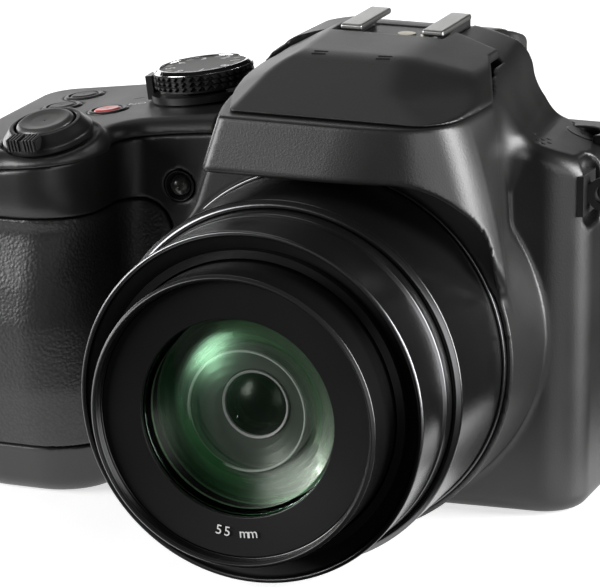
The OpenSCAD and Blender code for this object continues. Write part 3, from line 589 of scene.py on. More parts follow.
def lid_plan(x, y):
    """Outline of the flash cover seen from above: full width in front, two points beside the shoe."""
    side = np.abs(x)
    point = np.maximum(side - 22.4, 0.808 * (y - 8.0 + 0.4 * (side - 14)))
    wide = np.maximum(0.939 * (side - 22.3) + 0.344 * (y + 0.8), y + 0.8)
    shoe = np.maximum(side - 11.6, 1.0 - y)
    return np.maximum(np.minimum(point, wide), -shoe)


def lid_slope(y):
    """Height of the flash cover's sloping front face."""
    return LID_FRONT[1] + LID_RISE * (y - LID_FRONT[0])


def lid_field(x, y, z):
    """Flash cover: a faceted skin, open below."""
    side = np.abs(x)
    slope = (z - lid_slope(y)) / math.hypot(1, LID_RISE)
    ridge = smax(z - HUMP_TOP, slope, 0.8)
    flank_a = 0.229 * (side - 10) - 0.228 * (y + 20) + 0.946 * (z - HUMP_TOP)
    flank_b = 0.2 * (side - 10.5) + 0.98 * (z - HUMP_TOP)
    rim = 0.97 * (z - SEAM - 0.9 - 0.13 * (y + 41) + 0.15 * (side - 25))
    cheek = 0.608 * (side - 29.6) + 0.79 * (z - SEAM - 0.9)
    right = smax(smax(smin(flank_a, rim, 0.6), flank_b, 0.8), cheek, 0.8)
    left_a = 0.529 * (-x - 14.4) - 0.175 * (y + 30) + 0.831 * (z - 91.1)
    left_b = 0.46 * (-x - 13.9) - 0.027 * (y + 5.4) + 0.887 * (z - 92.8)
    top = smax(ridge, np.where(x < 0, smax(left_a, left_b, 0.8), right), 0.5)
    plan = smax(BEZEL_FRONT - y, np.where(x < 0, left_plan(-x, y), right_plan(x, y)), 1.5)
    shape = rmax(top, plan, 0.7)
    shape = rmax(shape, lid_plan(x, y), 0.35)
    hollow = np.maximum(top, plan) + LID_THICK
    return rmax(rmax(shape, SEAM + GAP - z, 0.5), -hollow, 0.2)


def plate_region(x, y, z):
    """Where the left top plate lies."""
    depth = 3.3 + 1.6 * np.clip((y - SPLIT) / 1.5 + 1, 0, 1)
    return np.maximum(x - RIDGE + 0.5, deck_at(x, y) - depth - z)


def platform_field(x, y, z):
    """The low round platform under the shutter button."""
    u, v, w = local(shutter_turn, x, y, z)
    across = np.hypot(u, v)
    return rmax(across - 11.6 + 0.35 * np.maximum(w + 2, 0), w - 0.35, 0.6)


def rubber_area(x, y, z):
    """Where the grip cover lies, seen from the front."""
    edge = rmax(z - RUBBER_Z1 - 0.02 * (x + 70), x + 39.6, 7)
    return np.maximum(np.maximum(edge, RUBBER_Z0 - z), y + 13)


def well(node, room, down=0.0):
    """Room round a solid's box, and further down if asked."""
    low, high = box_mm(node)
    return low - room - (0, 0, down), high + room


# Rooms cut into the front shell: doors, battery and card, tripod socket, flash lamp and its hinge, shoe
shoe_low, shoe_high = box_mm("shoe_base")
wells = [well("battery_door", 0.25), well("battery", 0.4, 4), well("memory_card", 0.4, 4),
         well("port_door", 0.25), well("port_pin", 2.4), well("tripod_socket", 0.05),
         well("flash_lamp", 0.5), well("flash_bracket", 0.3),
         ((-11.3, 1.6, shoe_low[2]), (11.3, BACK - 1, 99))]


def shell_field(x, y, z):
    """Front shell: all but the rear cover, the top plate, the flash cover and the grip cover."""
    shape = outer_field(x, y, z)
    rear = np.minimum(y - SPLIT, JOINT - z)
    shape = rmax(shape, np.where(z > JOINT + 2, -5.0, rear), 0.3)
    plate = plate_region(x, y, z) - GAP
    shape = rmax(shape, -plate, 0.5)
    cover = lid_plan(x, y)
    shape = rmax(shape, -np.maximum(SEAM - z, cover - GAP), 0.5)
    swing = np.maximum(np.maximum(82.2 - z, cover - 0.7), -5 - y)
    shape = np.maximum(shape, -swing)
    skin = body_field(x, y, z)
    inlay = np.maximum(rubber_area(x, y, z) - GAP, -(skin + 1.1))
    shape = rmax(shape, -inlay, 0.3)
    across = np.hypot(x, z - LENS_Z)
    bore = np.maximum(across - BARREL_R - 0.4, y - 8)
    lug = block_field(x, y, z, (RIGHT - 4, -6, 59), (RIGHT + 5, 3.5, 73), 2.5)
    shape = rmax(shape, -lug, 0.8)
    for low, high in wells:
        shape = np.maximum(shape, -block_field(x, y, z, low, high))
    lamp_hole = np.maximum(np.hypot(x - LAMP_X, z - LAMP_Z) - 3.25, y + 12)
    return np.maximum(np.maximum(shape, -bore), -lamp_hole)


def plate_field(x, y, z):
    """Left top plate with the round recess of the zoom lever."""
    shape = rmin(outer_field(x, y, z), platform_field(x, y, z), 1.2)
    shape = rmax(shape, plate_region(x, y, z), 0.45)
    u, v, w = local(shutter_turn, x, y, z)
    recess = np.maximum(np.hypot(u, v) - COLLAR_R - 0.5, -w)
    return rmax(shape, -recess, 0.2)


def holed_plate(x, y, z):
    """Left top plate with the holes of its three small buttons."""
    shape = plate_field(x, y, z)
    for middle in (movie_mid, drive_mid, focus_mid):
        u, v, _ = local(button_turn(middle), x, y, z)
        shape = rmax(shape, BUTTON_R + 0.1 - np.hypot(u, v), 0.3)
    return shape


def ledge_field(x, y, z):
    """Closes the rear cover behind the right shoulder."""
    plan = body_field(x, y, 40 + 0 * z) + 0.4
    shape = rmax(plan, np.abs(z - JOINT + 2.1) - 2.4, 0.3)
    shape = np.maximum(np.maximum(shape, SPLIT - 2 - y), 12 - x)
    return rmax(shape, 4.0 - np.hypot(x - flash_mid[0], y - flash_mid[1]), 0.3)


def rubber_field(x, y, z):
    """Grip cover: a thin layer let into the grip."""
    skin = body_field(x, y, z)
    shape = np.maximum(skin - 0.12, -(skin + 1.0))
    return rmax(shape, rubber_area(x, y, z) + GAP, 0.6)


BLOCK = 8
AXES = np.eye(3, dtype=int)
CORNER = np.stack(np.meshgrid(*[np.arange(BLOCK + 1)] * 3, indexing="ij"), -1).reshape(-1, 3)
EDGES = [(np.array(p), np.array(p) + AXES[a])
         for a in range(3) for p in np.ndindex(2, 2, 2) if p[a] == 0]


def surface(field, low, high, step):
    """Finds the zero surface of a field: a point in each cell that it crosses, four-sided faces between."""
    low = np.array(low, float)
    blocks = np.ceil((np.array(high) - low) / step / BLOCK).astype(int)
    cells = blocks * BLOCK
    every = np.stack(np.meshgrid(*[np.arange(n) for n in blocks], indexing="ij"), -1).reshape(-1, 3)
    half = BLOCK // 2
    middle = low + (every * BLOCK + half) * step
    near = every[np.abs(field(*middle.T)) < 1.35 * half * math.sqrt(3) * step]
    keys, points, quads, flips = [], [], [], []

    def key(cell):
        return (cell[..., 0] * cells[1] + cell[..., 1]) * cells[2] + cell[..., 2]

    for part in np.array_split(near, max(1, len(near) // 300)):
        grid = part[:, None] * BLOCK + CORNER
        place = (low + grid * step).reshape(-1, 3)
        value = field(*place.T).reshape(-1, BLOCK + 1, BLOCK + 1, BLOCK + 1)
        inside = value < 0
        count = sum(inside[:, a:a + BLOCK, b:b + BLOCK, c:c + BLOCK].astype(int)
                    for a, b, c in np.ndindex(2, 2, 2))
        which = np.nonzero((count > 0) & (count < 8))
        cell = np.stack(which[1:], 1)
        total = np.zeros((len(cell), 3))
        weight = np.zeros(len(cell))
        for p, q in EDGES:
            a = value[(which[0], *(cell + p).T)]
            b = value[(which[0], *(cell + q).T)]
            cross = (a < 0) != (b < 0)
            share = np.where(cross, a / np.where(cross, a - b, 1), 0)
            total += np.where(cross[:, None], p + share[:, None] * (q - p), 0)
            weight += cross
        base = part[which[0]] * BLOCK + cell
        keys.append(key(base))
        points.append(low + (base + total / weight[:, None]) * step)
        here = inside[:, :BLOCK, :BLOCK, :BLOCK]
        for axis in range(3):
            cut = [slice(0, BLOCK)] * 3
            cut[axis] = slice(1, BLOCK + 1)
            found = np.nonzero(here != inside[(slice(None), *cut)])
            start = part[found[0]] * BLOCK + np.stack(found[1:], 1)
            u = AXES[(axis + 1) % 3]
            v = AXES[(axis + 2) % 3]
            quads.append(np.stack([key(start - u - v), key(start - v), key(start), key(start - u)], 1))
            flips.append(~here[found])
    keys = np.concatenate(keys)
    points = np.concatenate(points)
    order = np.argsort(keys)
    keys = keys[order]
    points = points[order]
    quads = np.concatenate(quads)
    flips = np.concatenate(flips)
    index = np.clip(np.searchsorted(keys, quads), 0, len(keys) - 1)
    good = (keys[index] == quads).all(1)
    index = index[good]
    index[flips[good]] = index[flips[good]][:, ::-1]
    # Two short moves bring each point onto the true surface
    small = 0.02
    for _ in range(2):
        value = field(*points.T)
        slope = np.stack([(field(*(points + small * axis).T) - value) / small for axis in AXES], 1)
        move = value / np.maximum((slope ** 2).sum(1), 0.05)
        points -= np.clip(move, -0.6 * step, 0.6 * step)[:, None] * slope
    return points, index


# Shell, top plate, flash cover and grip cover
def field_piece(name, field, low, high, mat, body="camera_body", hides=(), step=STEP):
    """Makes a piece of the zero surface of a field."""
    points, faces = surface(field, low, high, step)
    return place_mesh(name, points, faces.tolist(), mat, body, hides)


field_piece("rear_ledge", ledge_field, (10, SPLIT - 4, JOINT - 6), (RIGHT + 2, BACK + 2, JOINT + 2), M_BODY)
field_piece("front_shell", shell_field, (LEFT - 2, -52, -2), (RIGHT + 2, BACK + 2, 96), M_BODY,
            hides=["front_cover", "front_bezel"])
field_piece("top_plate", holed_plate, (LEFT - 2, -48, 64), (-28, BACK + 2, 84), M_DECK,
            hides=["top_cover"], step=STEP * 0.8)
field_piece("flash_lid", lid_field, (-33, -51, 84), (33, 9, 96), M_BODY, body="flash_unit",
            hides=["flash_cover"], step=STEP * 0.8)
field_piece("grip_cover", rubber_field, (LEFT - 3, -47, 8), (-36, -8, 66), M_RUBBER,
            hides=["grip_rubber"])

# Lens: B0 is the barrel's foot, BF, SF and ZF are the fronts of barrel, sleeve and zoom barrel
B0 = BOSS_FRONT
BF = barrel_low[1]
SF = sleeve_low[1]
ZF = zoom_low[1]
ZOOM_BACK = -36
GLASS_R = 19.4
FILTER_R = ZOOM_R - 1
thread = [(FILTER_R - 0.4 * (k % 2), ZF + 2.3 - 0.3 * k) for k in range(6)]
lathe("barrel_body", [(BARREL_R, B0 + 0.6), (BARREL_R, BF + 0.9), (BARREL_R - 0.9, BF),
                      (SLEEVE_R + 0.3, BF), (SLEEVE_R + 0.3, B0 + 0.6)], M_BARREL,
      hides=["fixed_barrel"], mats=[M_EDGE], r=0.3,
      pick=lambda p: int(p[1] < BF + 0.75 and p[0] > BARREL_R - 1.0))
lathe("barrel_foot_ring", [(BARREL_R + 0.1, B0 - 1.2), (BARREL_R + 0.6, B0 - 1.2),
                           (BARREL_R + 0.6, B0), (BARREL_R + 0.1, B0)], M_EDGE,
      hides=["trim_ring"], r=0.2)
lathe("sleeve_body", [(ZOOM_R + 0.5, SF + 5), (SLEEVE_R - 1.3, SF + 1.2), (SLEEVE_R - 0.9, SF),
                      (SLEEVE_R - 0.2, SF), (SLEEVE_R, SF + 0.5), (SLEEVE_R - 0.3, SF + 12.6),
                      (SLEEVE_R - 1.0, SF + 13.1), (SLEEVE_R - 0.1, SF + 13.7),
                      (SLEEVE_R + 0.2, BF), (SLEEVE_R + 0.2, B0 - 2), (ZOOM_R + 3, B0 - 2),
                      (ZOOM_R + 3, SF + 8), (ZOOM_R + 0.5, SF + 8)], M_BARREL,
      hides=["front_sleeve"], mats=[M_EDGE, M_INNER],
      pick=lambda p: 2 if p[0] < SLEEVE_R - 1.2 else int(p[1] < SF + 0.5 or SF + 13.2 < p[1] < SF + 14.2))
lathe("zoom_body", [(FILTER_R + 0.2, ZF), (ZOOM_R - 0.5, ZF), (ZOOM_R, ZF + 0.6), (ZOOM_R, ZOOM_BACK),
                    (ZOOM_R - 1.4, ZOOM_BACK), (ZOOM_R - 1.4, ZF + 10), (GLASS_R + 2.6, ZF + 10),
                    (GLASS_R + 2.6, ZF + 4.4), (FILTER_R - 0.5, ZF + 4.4), (FILTER_R - 0.5, ZF + 2.4),
                    *thread, (FILTER_R, ZF + 0.4)], M_BARREL, body="zoom_unit", hides=["zoom_barrel"],
      mats=[M_RIM], r=0.15, pick=lambda p: int(p[1] < ZF + 0.6))
lathe("ring_face", [(FILTER_R - 0.6, ZF + 2.5), (FILTER_R - 0.6, ZF + 4.3), (GLASS_R, ZF + 4.3),
                    (GLASS_R, ZF + 3.2)], M_RING, body="zoom_unit", hides=["name_ring"],
      r=0.12)
lathe("front_glass", [(0, ZF + 2.7), (GLASS_R * 0.5, ZF + 3.2), (GLASS_R - 0.1, ZF + 4.5),
                      (GLASS_R - 0.1, ZF + 5.2), (0, ZF + 4.2)], M_GLASS, body="zoom_unit",
      hides=["front_lens"], r=2.5)


def bowl(name, reach, curve, apex, thick, mat, hides=(), arc=12):
    """A lens element: a part of a sphere whose middle stands at apex; a minus curve makes it hollow."""
    lean = math.asin(reach / abs(curve))
    sag = [(abs(curve) * math.sin(lean * k / arc),
            apex + math.copysign(abs(curve) * (1 - math.cos(lean * k / arc)), curve)) for k in range(arc + 1)]
    back = [(r, a + thick) for r, a in reversed(sag)]
    glass = lathe(name, sag + back, mat, body="zoom_unit", hides=hides, r=0.02)
    glass.visible_shadow = False
    return glass


def inner_ring(name, inside, outside, front, deep):
    """A thin pale ring inside the lens, with a slanting front."""
    lathe(name, [(inside, front + 0.2), (outside, front), (outside, front + deep), (inside, front + deep)],
          M_RINGLINE, body="zoom_unit", r=0.1)


# Inside of the lens, from the front to the back
BAFFLE_STEPS = 6
BAFFLE_IN = 1.15
BAFFLE_BACK = 0.62
WIDE_R = 11.9
SMALL_R = 6.7
bowl("dome_glass", GLASS_R - 0.6, 43, ZF + 5.4, 0.8, M_GLASS_INNER, hides=["second_lens"])
cone = [(GLASS_R - 0.3, ZF + 11.2)]
for i in range(BAFFLE_STEPS):
    for cut in (0.6, 1.5):
        cone.append((GLASS_R - cut - BAFFLE_IN * i, ZF + 11.4 + BAFFLE_BACK * i))
lathe("baffle_cone", cone + [(12.3, ZF + 16.4), (GLASS_R - 0.3, ZF + 16.4)], M_BAFFLE_PAINTED_REFLECTION, body="zoom_unit",
      r=0.12)
inner_ring("inner_ring_wide", WIDE_R - 0.4, WIDE_R, ZF + 8.0, 0.7)
bowl("bowl_glass", 18.4, -36, ZF + 10.8, 0.8, M_GLASS_DEEP)
lathe("funnel", [(WIDE_R, ZF + 13.6), (WIDE_R, ZF + 14.6), (SMALL_R + 0.2, ZF + 14.6),
                 (SMALL_R + 0.2, ZF + 13.2)], M_BAFFLE_PAINTED_REFLECTION, body="zoom_unit", r=0.12)
inner_ring("inner_ring_small", SMALL_R - 0.5, SMALL_R, ZF + 12.7, 0.9)
bowl("eye_glass", 6.1, 9, ZF + 12.4, 0.8, M_GLASS_DEEP)
lathe("light_tube", [(GLASS_R - 0.2, ZF + 16.5), (GLASS_R + 0.4, ZF + 16.5), (GLASS_R + 0.4, ZF + 30),
                     (0, ZF + 30), (0, ZF + 29.5), (GLASS_R - 0.2, ZF + 29.5)], M_INNER, body="zoom_unit",
      r=0.1)


# Blocks and printed signs
def seat(turn, *steps):
    """A place matrix in millimetres: turn, then each step."""
    out = turn.copy()
    for step in steps:
        out = out @ step
    return out


def boxes(name, list_of_boxes, turn, mat, body, hides=(), bevel=0.12):
    """Several blocks, each (low corner, high corner), as one piece with soft edges."""
    points = []
    faces = []
    for low, high in list_of_boxes:
        base = len(points)
        for k in range(8):
            points.append([(low, high)[k >> i & 1][i] for i in range(3)])
        faces += [[base + i for i in f] for f in
                  ((0, 2, 3, 1), (4, 5, 7, 6), (0, 1, 5, 4), (2, 6, 7, 3), (0, 4, 6, 2), (1, 3, 7, 5))]
    obj = place_mesh(name, moved(points, turn), faces, mat, body, hides, smooth=False)
    soft = obj.modifiers.new("soft_edges", "BEVEL")
    soft.width = bevel * MM
    soft.segments = 2
    soft.harden_normals = True
    obj.data.shade_smooth()
    return obj


def letters(name, text, size, turn, mat, body="camera_body"):
    """Flat printed characters, a hair thick."""
    curve = bpy.data.curves.new(name, "FONT")
    curve.body = text
    curve.size = size
    curve.align_x = "CENTER"
    curve.align_y = "CENTER"
    curve.extrude = 0.03
    curve.resolution_u = 3
    maker = bpy.data.objects.new(name + "_maker", curve)
    scene.collection.objects.link(maker)
    bpy.context.view_layer.update()
    mesh = bpy.data.meshes.new_from_object(maker.evaluated_get(bpy.context.evaluated_depsgraph_get()))
    points = [tuple(v.co) for v in mesh.vertices]
    faces = [list(f.vertices) for f in mesh.polygons]
    bpy.data.objects.remove(maker)
    bpy.data.curves.remove(curve)
    bpy.data.meshes.remove(mesh)
    return place_mesh(name, moved(points, turn), faces, mat, body, smooth=False)


# Filter size on the lens ring
RING_MARK = "55 mm"
MARK_R = 22.3
MARK_STEP = 4.4
for i, sign in enumerate(RING_MARK):
    if sign != " ":
        lean = -90 + MARK_STEP * (i - (len(RING_MARK) - 1) / 2)
        place = seat(shift(0, ZF + 2.44, LENS_Z), turned("X", 90), spin_z(lean), shift(MARK_R, 0, 0),
                     spin_z(90))
        letters("ring_mark_%d" % i, sign, 2.7, place, M_WHITE, "zoom_unit")

# Controls on the deck
DIAL_R = 10.4
DIAL_TOP = 6.9
DIAL_FACE = 6.55
KNURL_IN = 9.3
KNURL_DEEP = 0.75
TOOTH_POINTS = 10
ROW_POINTS = 8
lathe("dial_core", [(0, 2.2), (9.6, 2.2), (9.6, 3.2), (9.4, 3.3), (9.4, 5.9), (9.4, DIAL_FACE),
                    (0, DIAL_FACE)], M_DIALTOP, body="mode_dial", hides=["mode_dial"],
      spin=dial_turn, mats=[M_CONTROL],
      pick=lambda p: int(p[1] < 5.9))
lathe("dial_stem", [(0, -4.5), (4, -4.5), (4, 2.2), (0, 2.2)], M_CONTROL, body="mode_dial",
      spin=dial_turn, turns=48)
lathe("dial_rim", [(8.9, 6.5), (10.1, 5.9), (10.3, 6.1), (9.5, DIAL_TOP), (9.0, DIAL_TOP - 0.05)], M_CHROME,
      body="mode_dial", spin=dial_turn, r=0.15)


def knurl(name, teeth, rows, low, high, mat):
    """Rows of small triangles round the dial's edge."""
    across = teeth * TOOTH_POINTS
    down = rows * ROW_POINTS
    angle = np.arange(across) * 2 * math.pi / across
    share = (np.arange(across) % TOOTH_POINTS + 0.5) / TOOTH_POINTS
    points = []
    for i in range(down + 1):
        height = (i % ROW_POINTS) / (ROW_POINTS - 1) if i < down else 1.0
        rise = np.clip((height - np.abs(2 * share - 1) + 0.12) / 0.3, 0, 1)
        edge = 0.0 if i in (0, down) else 1.0
        radius = DIAL_R - KNURL_DEEP + KNURL_DEEP * rise * edge
        points.append(np.stack([radius * np.cos(angle), radius * np.sin(angle),
                                np.full(across, low + (high - low) * i / down)], 1))
    inner = np.stack([KNURL_IN * np.cos(angle), KNURL_IN * np.sin(angle), 0 * angle], 1)
    points = [inner + (0, 0, low)] + points + [inner + (0, 0, high)]
    faces = [face for _, _, face in ring_faces(len(points), across)]
    obj = place_mesh(name, moved(np.concatenate(points), dial_turn), faces, mat, "mode_dial",
                     smooth=False)
    turn_outward(obj)
    return obj


knurl("dial_knurl", 36, 3, 2.7, 5.95, M_CONTROL)
for i in range(8):
    around = spin_z(20 + 45 * i)
    letters("dial_mark_%d" % (i + 1), "%d" % (i + 1), 3.0,
            seat(dial_turn, around, shift(6.6, 0, DIAL_FACE + 0.01), spin_z(-90)), M_WHITE, "mode_dial")
    boxes("dial_dash_%d" % (i + 1), [((7.0, -0.7, DIAL_FACE - 0.05), (8.3, 0.7, DIAL_FACE + 0.05))],
          seat(dial_turn, spin_z(42.5 + 45 * i)), M_GREYMARK, "mode_dial", bevel=0.02)

SHUTTER_R = 6.0
lathe("shutter_cap", [(0, -3.4), (1.5, -3.4), (1.5, 2.6), (SHUTTER_R - 0.1, 2.6), (SHUTTER_R - 0.1, 4.2),
                      (SHUTTER_R - 0.9, 4.85), (3.0, 4.5), (0, 4.4)], M_SHUTTER, body="shutter_button",
      hides=["shutter_button"], spin=shutter_turn, r=0.35, turns=120)
lathe("zoom_collar", [(1.9, 0.55), (COLLAR_R, 0.55), (COLLAR_R, 1.9), (8.6, 2.5), (7.3, 4.15),
                      (6.4, 4.15), (6.4, 1.6), (1.9, 1.6)], M_CONTROL, body="zoom_lever",
      hides=["zoom_lever"], spin=shutter_turn, r=0.3, turns=120)
TAB_LOW = 2.1
RIB_STEP = 0.733
ribs = [((7.0, -3.2, TAB_LOW), (9.7, 3.2, 4.3))]
for i in (0, 1, 2, 3, 5, 6, 7, 8):
    ribs.append(((6.8, -3.3 + i * RIB_STEP, TAB_LOW), (10.1, -2.85 + i * RIB_STEP, 4.7)))
boxes("zoom_tab", ribs, seat(shutter_turn, spin_z(-98)), M_CONTROL, "zoom_lever", bevel=0.1)


def push_cap(name, outline, mat, turn):
    """The round cap of a small button."""
    lathe(name + "_cap", outline, mat, body=name + "_button", hides=[name + "_button"],
          spin=turn, turns=72)


for name, middle, cap in (("movie", movie_mid, M_RED),
                          ("drive", drive_mid, M_DECK),
                          ("focus", focus_mid, M_DECK)):
    turn = button_turn(middle)
    lathe(name + "_collar", [(3.25, -0.9), (BUTTON_R, -0.9), (BUTTON_R, 0.05), (3.9, 0.35), (3.4, 0.35),
                             (3.25, 0.1)], M_CONTROL, spin=turn, r=0.12, turns=72)
    push_cap(name, [(0, -4.2), (3.0, -4.2), (3.0, 0.1), (2.4, 0.5), (0, 0.35)], cap, turn)

letters("on_mark", "ON", 2.4, seat(deck_turn(-54.5, 0.8), spin_z(-168)), M_WHITE)
boxes("light_mark", [((-1.3, -0.25, -0.05), (1.3, 0.25, 0.05))], seat(deck_turn(-56.5, 7.0), spin_z(25)),
      M_GREYMARK, "camera_body", bevel=0.02)

# Focus lamp: a small dome in a dark groove
lamp_mid = middle_mm("focus_lamp")
lamp_turn = shift(lamp_mid[0], wall_at(LAMP_X), lamp_mid[2]) @ turned("X", 90)
lathe("lamp_dome", [(0, -3.0), (2.3, -3.0), (2.3, -0.6), (1.9, 0.35), (1.2, 0.85), (0, 1.05)], M_LAMP,
      hides=["focus_lamp"], spin=lamp_turn, r=0.35, turns=72)
lathe("lamp_groove", [(2.35, -1.2), (3.2, -1.2), (3.2, 0.12), (2.95, 0.2), (2.5, -0.35), (2.35, -0.5)],
      M_CONTROL, spin=lamp_turn, r=0.1, turns=72)


# Small openings, shown as painted shade: black discs for the sound holes on the shoulder, black blocks for
# the slots on the flash cover
def shoulder_height(x, y):
    """Height of the outer skin above a point of the plan."""
    heights = np.linspace(60, 96, 1801)
    inside = outer_field(np.full_like(heights, x), np.full_like(heights, y), heights) < 0
    return float(heights[inside].max())


def shoulder_turn(x, y):
    """A place on the right shoulder, with Z square to it."""
    return seat(shift(x, y, shoulder_height(x, y)), Matrix.Rotation(math.atan(SHOULDER_FALL), 4, "Y"),
                Matrix.Rotation(-math.atan(SHOULDER_FALL_BACK), 4, "X"))


# Painted shade: flat black discs stand where the sound holes would be dark.
for i, row in enumerate((2, 3, 2)):
    for j in range(row):
        x = 32.6 + 1.5 * i + 0.5 * j
        y = -1.2 - 1.5 * i + 2.4 * (j - row / 2)
        lathe("sound_hole_painted_shade_%d%d" % (i, j), [(0, -1.2), (0.5, -1.2), (0.5, 0.06), (0, 0.06)], M_INNER,
              spin=shoulder_turn(x, y), r=0.05, turns=20)
# Painted shade: flat black blocks stand where the slots would be dark.
for m in (-1, 1):
    for j in range(2):
        y = -20.6 + 1.5 * j
        z = min(HUMP_TOP, lid_slope(y))
        boxes("sound_slot_%d_%d" % (m + 1, j), [((-1.5, -0.28, -0.8), (1.5, 0.28, 0.02))],
              seat(shift(m * 6.7, y, z), spin_z(8), Matrix.Rotation(0.2, 4, "X")), M_INNER, "flash_unit",
              bevel=0.2)

# Flash button, low in the right shoulder, and finder button, on the back beside the eyepiece
push_cap("flash", [(0, -1.8), (3.6, -1.8), (3.6, -0.1), (3.3, 0.1), (0, 0.05)], M_CONTROL,
         shoulder_turn(flash_mid[0], flash_mid[1]))
FINDER_CAP_X = 20.2
finder_back = box_mm("finder_button")[1][1]
push_cap("finder", [(0, -3.0), (2.2, -3.0), (2.2, 0), (1.8, 0.4), (0, 0.3)], M_CONTROL,
         shift(FINDER_CAP_X, finder_back - 0.5, finder_mid[2]) @ turned("X", -90))

# Accessory shoe: two bent rails over a black floor with round contacts; the rails' bent-down sides are given
# a darker metal as painted shade
rail_low, rail_high = box_mm("shoe_rails")
RAIL_IN = 6.4
HERE = shift(0, 0, 0)
for m, name in ((-1, "left"), (1, "right")):
    x0, x1 = sorted((m * RAIL_IN, m * rail_high[0]))
    boxes("shoe_rail_" + name, [((x0, rail_low[1], rail_high[2] - 1.3), (x1, rail_high[1], rail_high[2]))],
          HERE, M_METAL, "camera_body", hides=["shoe_rails"], bevel=0.5)
    # Painted shade: the bent-down side of each rail is the same steel as its top, given a darker metal.
    x0, x1 = sorted((m * (rail_high[0] - 1.4), m * (rail_high[0] - 0.2)))
    web_low = (x0, rail_low[1] + 0.4, rail_low[2])
    web_high = (x1, rail_high[1] - 0.2, rail_high[2] - 1.0)
    boxes("shoe_web_painted_shade_" + name, [(web_low, web_high)], HERE, M_LUG, "camera_body", bevel=0.15)
CONTACTS = ((0, 13, 1.9), (-3.4, 8.6, 0.9), (0.4, 7.4, 0.9), (3.6, 8.6, 0.9), (3.9, 12.6, 0.9))
for i, (x, y, r) in enumerate(CONTACTS):
    lathe("shoe_contact_%d" % i, [(0, -0.4), (r, -0.4), (r, 0.2), (0, 0.25)], M_CONTACT,
          spin=shift(x, y, shoe_high[2]), r=0.1, turns=40)

# Eyepiece: a housing that falls away behind the finder, and a soft cup round the window
cup_low, cup_high = box_mm("eyecup")
house_low, house_high = box_mm("eyepiece_housing")
EYE_TOP = 89.2
EYE_FALL = 0.3
WINDOW_LOW = 78.4


def behind_top(y):
    """Height of the eyepiece, which falls away to the back."""
    return EYE_TOP - EYE_FALL * (y - cup_low[1])


def eye_block(x, y, z, low, high, r, top_r, flare):
    """A block under that falling top, and the window through it."""
    shape = block_field(x, y, z, low, high, r)
    shape = rmax(shape, (z - behind_top(y)) / math.hypot(1, EYE_FALL), top_r)
    wide = np.abs(x) - 10.5 - flare * (y - cup_low[1])
    return shape, rmax(wide, np.maximum(WINDOW_LOW - z, z - behind_top(y) + 2.2), 1.5)


def cup_field(x, y, z):
    """Soft cup round the window."""
    shape, window = eye_block(x, y, z, cup_low, cup_high, 3.0, 1.5, 0.1)
    return rmax(shape, -window, 0.5)


def house_field(x, y, z):
    """Housing between the finder and the cup."""
    shape, window = eye_block(x, y, z, house_low, house_high, 1.5, 1.0, 0.0)
    return np.maximum(shape, -window)


field_piece("eye_cup", cup_field, cup_low - 2, cup_high + 2, M_SOFT, hides=["eyecup"])
field_piece("eye_housing", house_field, house_low - 2, house_high + 2, M_BODY, hides=["eyepiece_housing"])

# Bevels and finishes of the solids that are shown as they are
FINISH = {
    M_BODY: "rear_cover battery_door",
    M_RUBBER: "thumb_rubber",
    M_SOFT: "port_door",
    M_INNER: "lens_housing",
    M_BARREL: "mid_barrel",
    M_GLASS_INNER: "rear_lens eyepiece_lens",
    M_SCREEN: "image_sensor screen_panel screen_window finder_display",
    M_BOARD: "main_board",
    M_WHITE: "flash_lamp",
    M_LEVER: "power_lever",
    M_LUG: "strap_lugs",
    M_METAL: "flash_bracket flash_pin door_pin port_pin tripod_socket base_screws",
    M_CONTROL: "diopter_dial shoe_base rear_dial play_button lock_button cursor_pad set_button "
               "display_button delete_button battery memory_card"}
BEVEL = 0.18
SHARP_FROM = math.radians(28)
BEVEL_FROM = math.radians(35)
for mat, shown in FINISH.items():
    for node in shown.split():
        obj = nodes[node]
        obj.data.materials.clear()
        obj.data.materials.append(mat)
        obj.data.shade_smooth()
        obj.data.set_sharp_from_angle(angle=SHARP_FROM)
        bevel = obj.modifiers.new("soft_edges", "BEVEL")
        bevel.width = BEVEL * MM
        bevel.segments = 2
        bevel.limit_method = "ANGLE"
        bevel.angle_limit = BEVEL_FROM
        bevel.harden_normals = True


# Stage: a floor that ends at the camera's foremost edges, a backdrop and lamps
def sheet(name, corners, mat):
    """One flat sheet of the stage."""
    mesh = bpy.data.meshes.new(name)
    mesh.from_pydata(corners, [], [(0, 1, 2, 3)])
    mesh.materials.append(mat)
    obj = bpy.data.objects.new(name, mesh)
    scene.collection.objects.link(obj)
    return obj


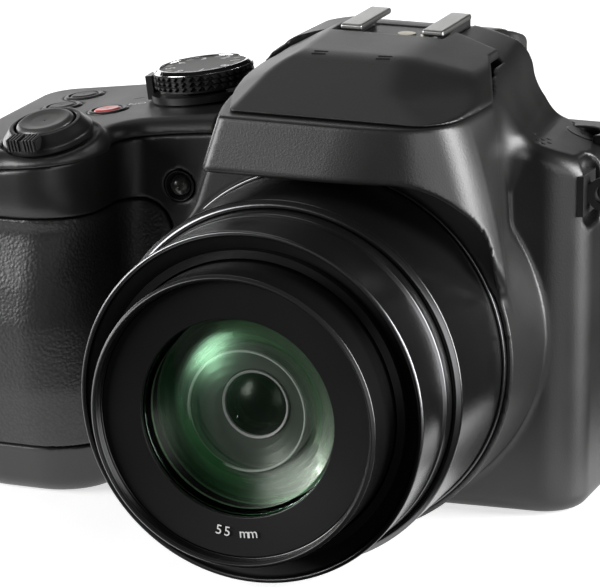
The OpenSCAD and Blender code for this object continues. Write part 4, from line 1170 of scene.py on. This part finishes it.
def pale(name, glow):
    """A pale, slightly glowing surface."""
    mat = material(name, (0.8, 0.8, 0.8), 0.9, scale=40.0, height=0.0, specular=0.0)
    shader = mat.node_tree.nodes["Principled BSDF"]
    shader.inputs["Emission Color"].default_value = (1, 1, 1, 1)
    shader.inputs["Emission Strength"].default_value = glow
    return mat


STAGE_LEFT = -0.7
STAGE_RIGHT = 0.075
STAGE_BACK = 0.75
back_left = (STAGE_LEFT, STAGE_BACK, 0)
back_right = (-STAGE_RIGHT, STAGE_BACK, 0)
sheet("floor", [(STAGE_LEFT, -0.337, 0), (STAGE_RIGHT, -0.046, 0), back_right, back_left],
      pale("floor_white", 0.65))
sheet("backdrop", [back_left, back_right, (-STAGE_RIGHT, STAGE_BACK, 0.35), (STAGE_LEFT, STAGE_BACK, 0.35)],
      pale("backdrop_white", 0.28))

world = bpy.data.worlds.new("studio")
scene.world = world
world.use_nodes = True
world.node_tree.nodes["Background"].inputs["Color"].default_value = (0.004, 0.004, 0.004, 1)


def lamp(name, place, aim, size, power):
    """A soft box: where it stands, what it points at, its width and height, its watts."""
    data = bpy.data.lights.new(name, "AREA")
    data.shape = "RECTANGLE"
    data.size = size[0]
    data.size_y = size[1]
    data.energy = power
    obj = bpy.data.objects.new(name, data)
    obj.location = place
    obj.rotation_euler = (Vector(aim) - Vector(place)).to_track_quat("-Z", "Y").to_euler()
    scene.collection.objects.link(obj)
    return obj


LENS_AIM = (0, -0.03, 0.05)
lamp("left_front_box", (-0.8, -0.66, 0.33), LENS_AIM, (0.7, 0.5), 13)
lamp("left_back_box", (-0.85, 0.4, 0.16), LENS_AIM, (0.5, 0.35), 2.5)
lamp("right_front_box", (0.85, -0.75, 0.14), LENS_AIM, (0.9, 0.7), 4.5)
lamp("right_box", (0.9, 0.25, 0.25), LENS_AIM, (0.45, 0.7), 15)
lamp("rim_box", (-0.45, 0.68, 0.45), (0, 0, 0.07), (0.4, 0.3), 0.3)
lamp("top_box", (-0.3, 0.3, 0.9), (0, 0, 0.05), (0.5, 0.3), 0.45)
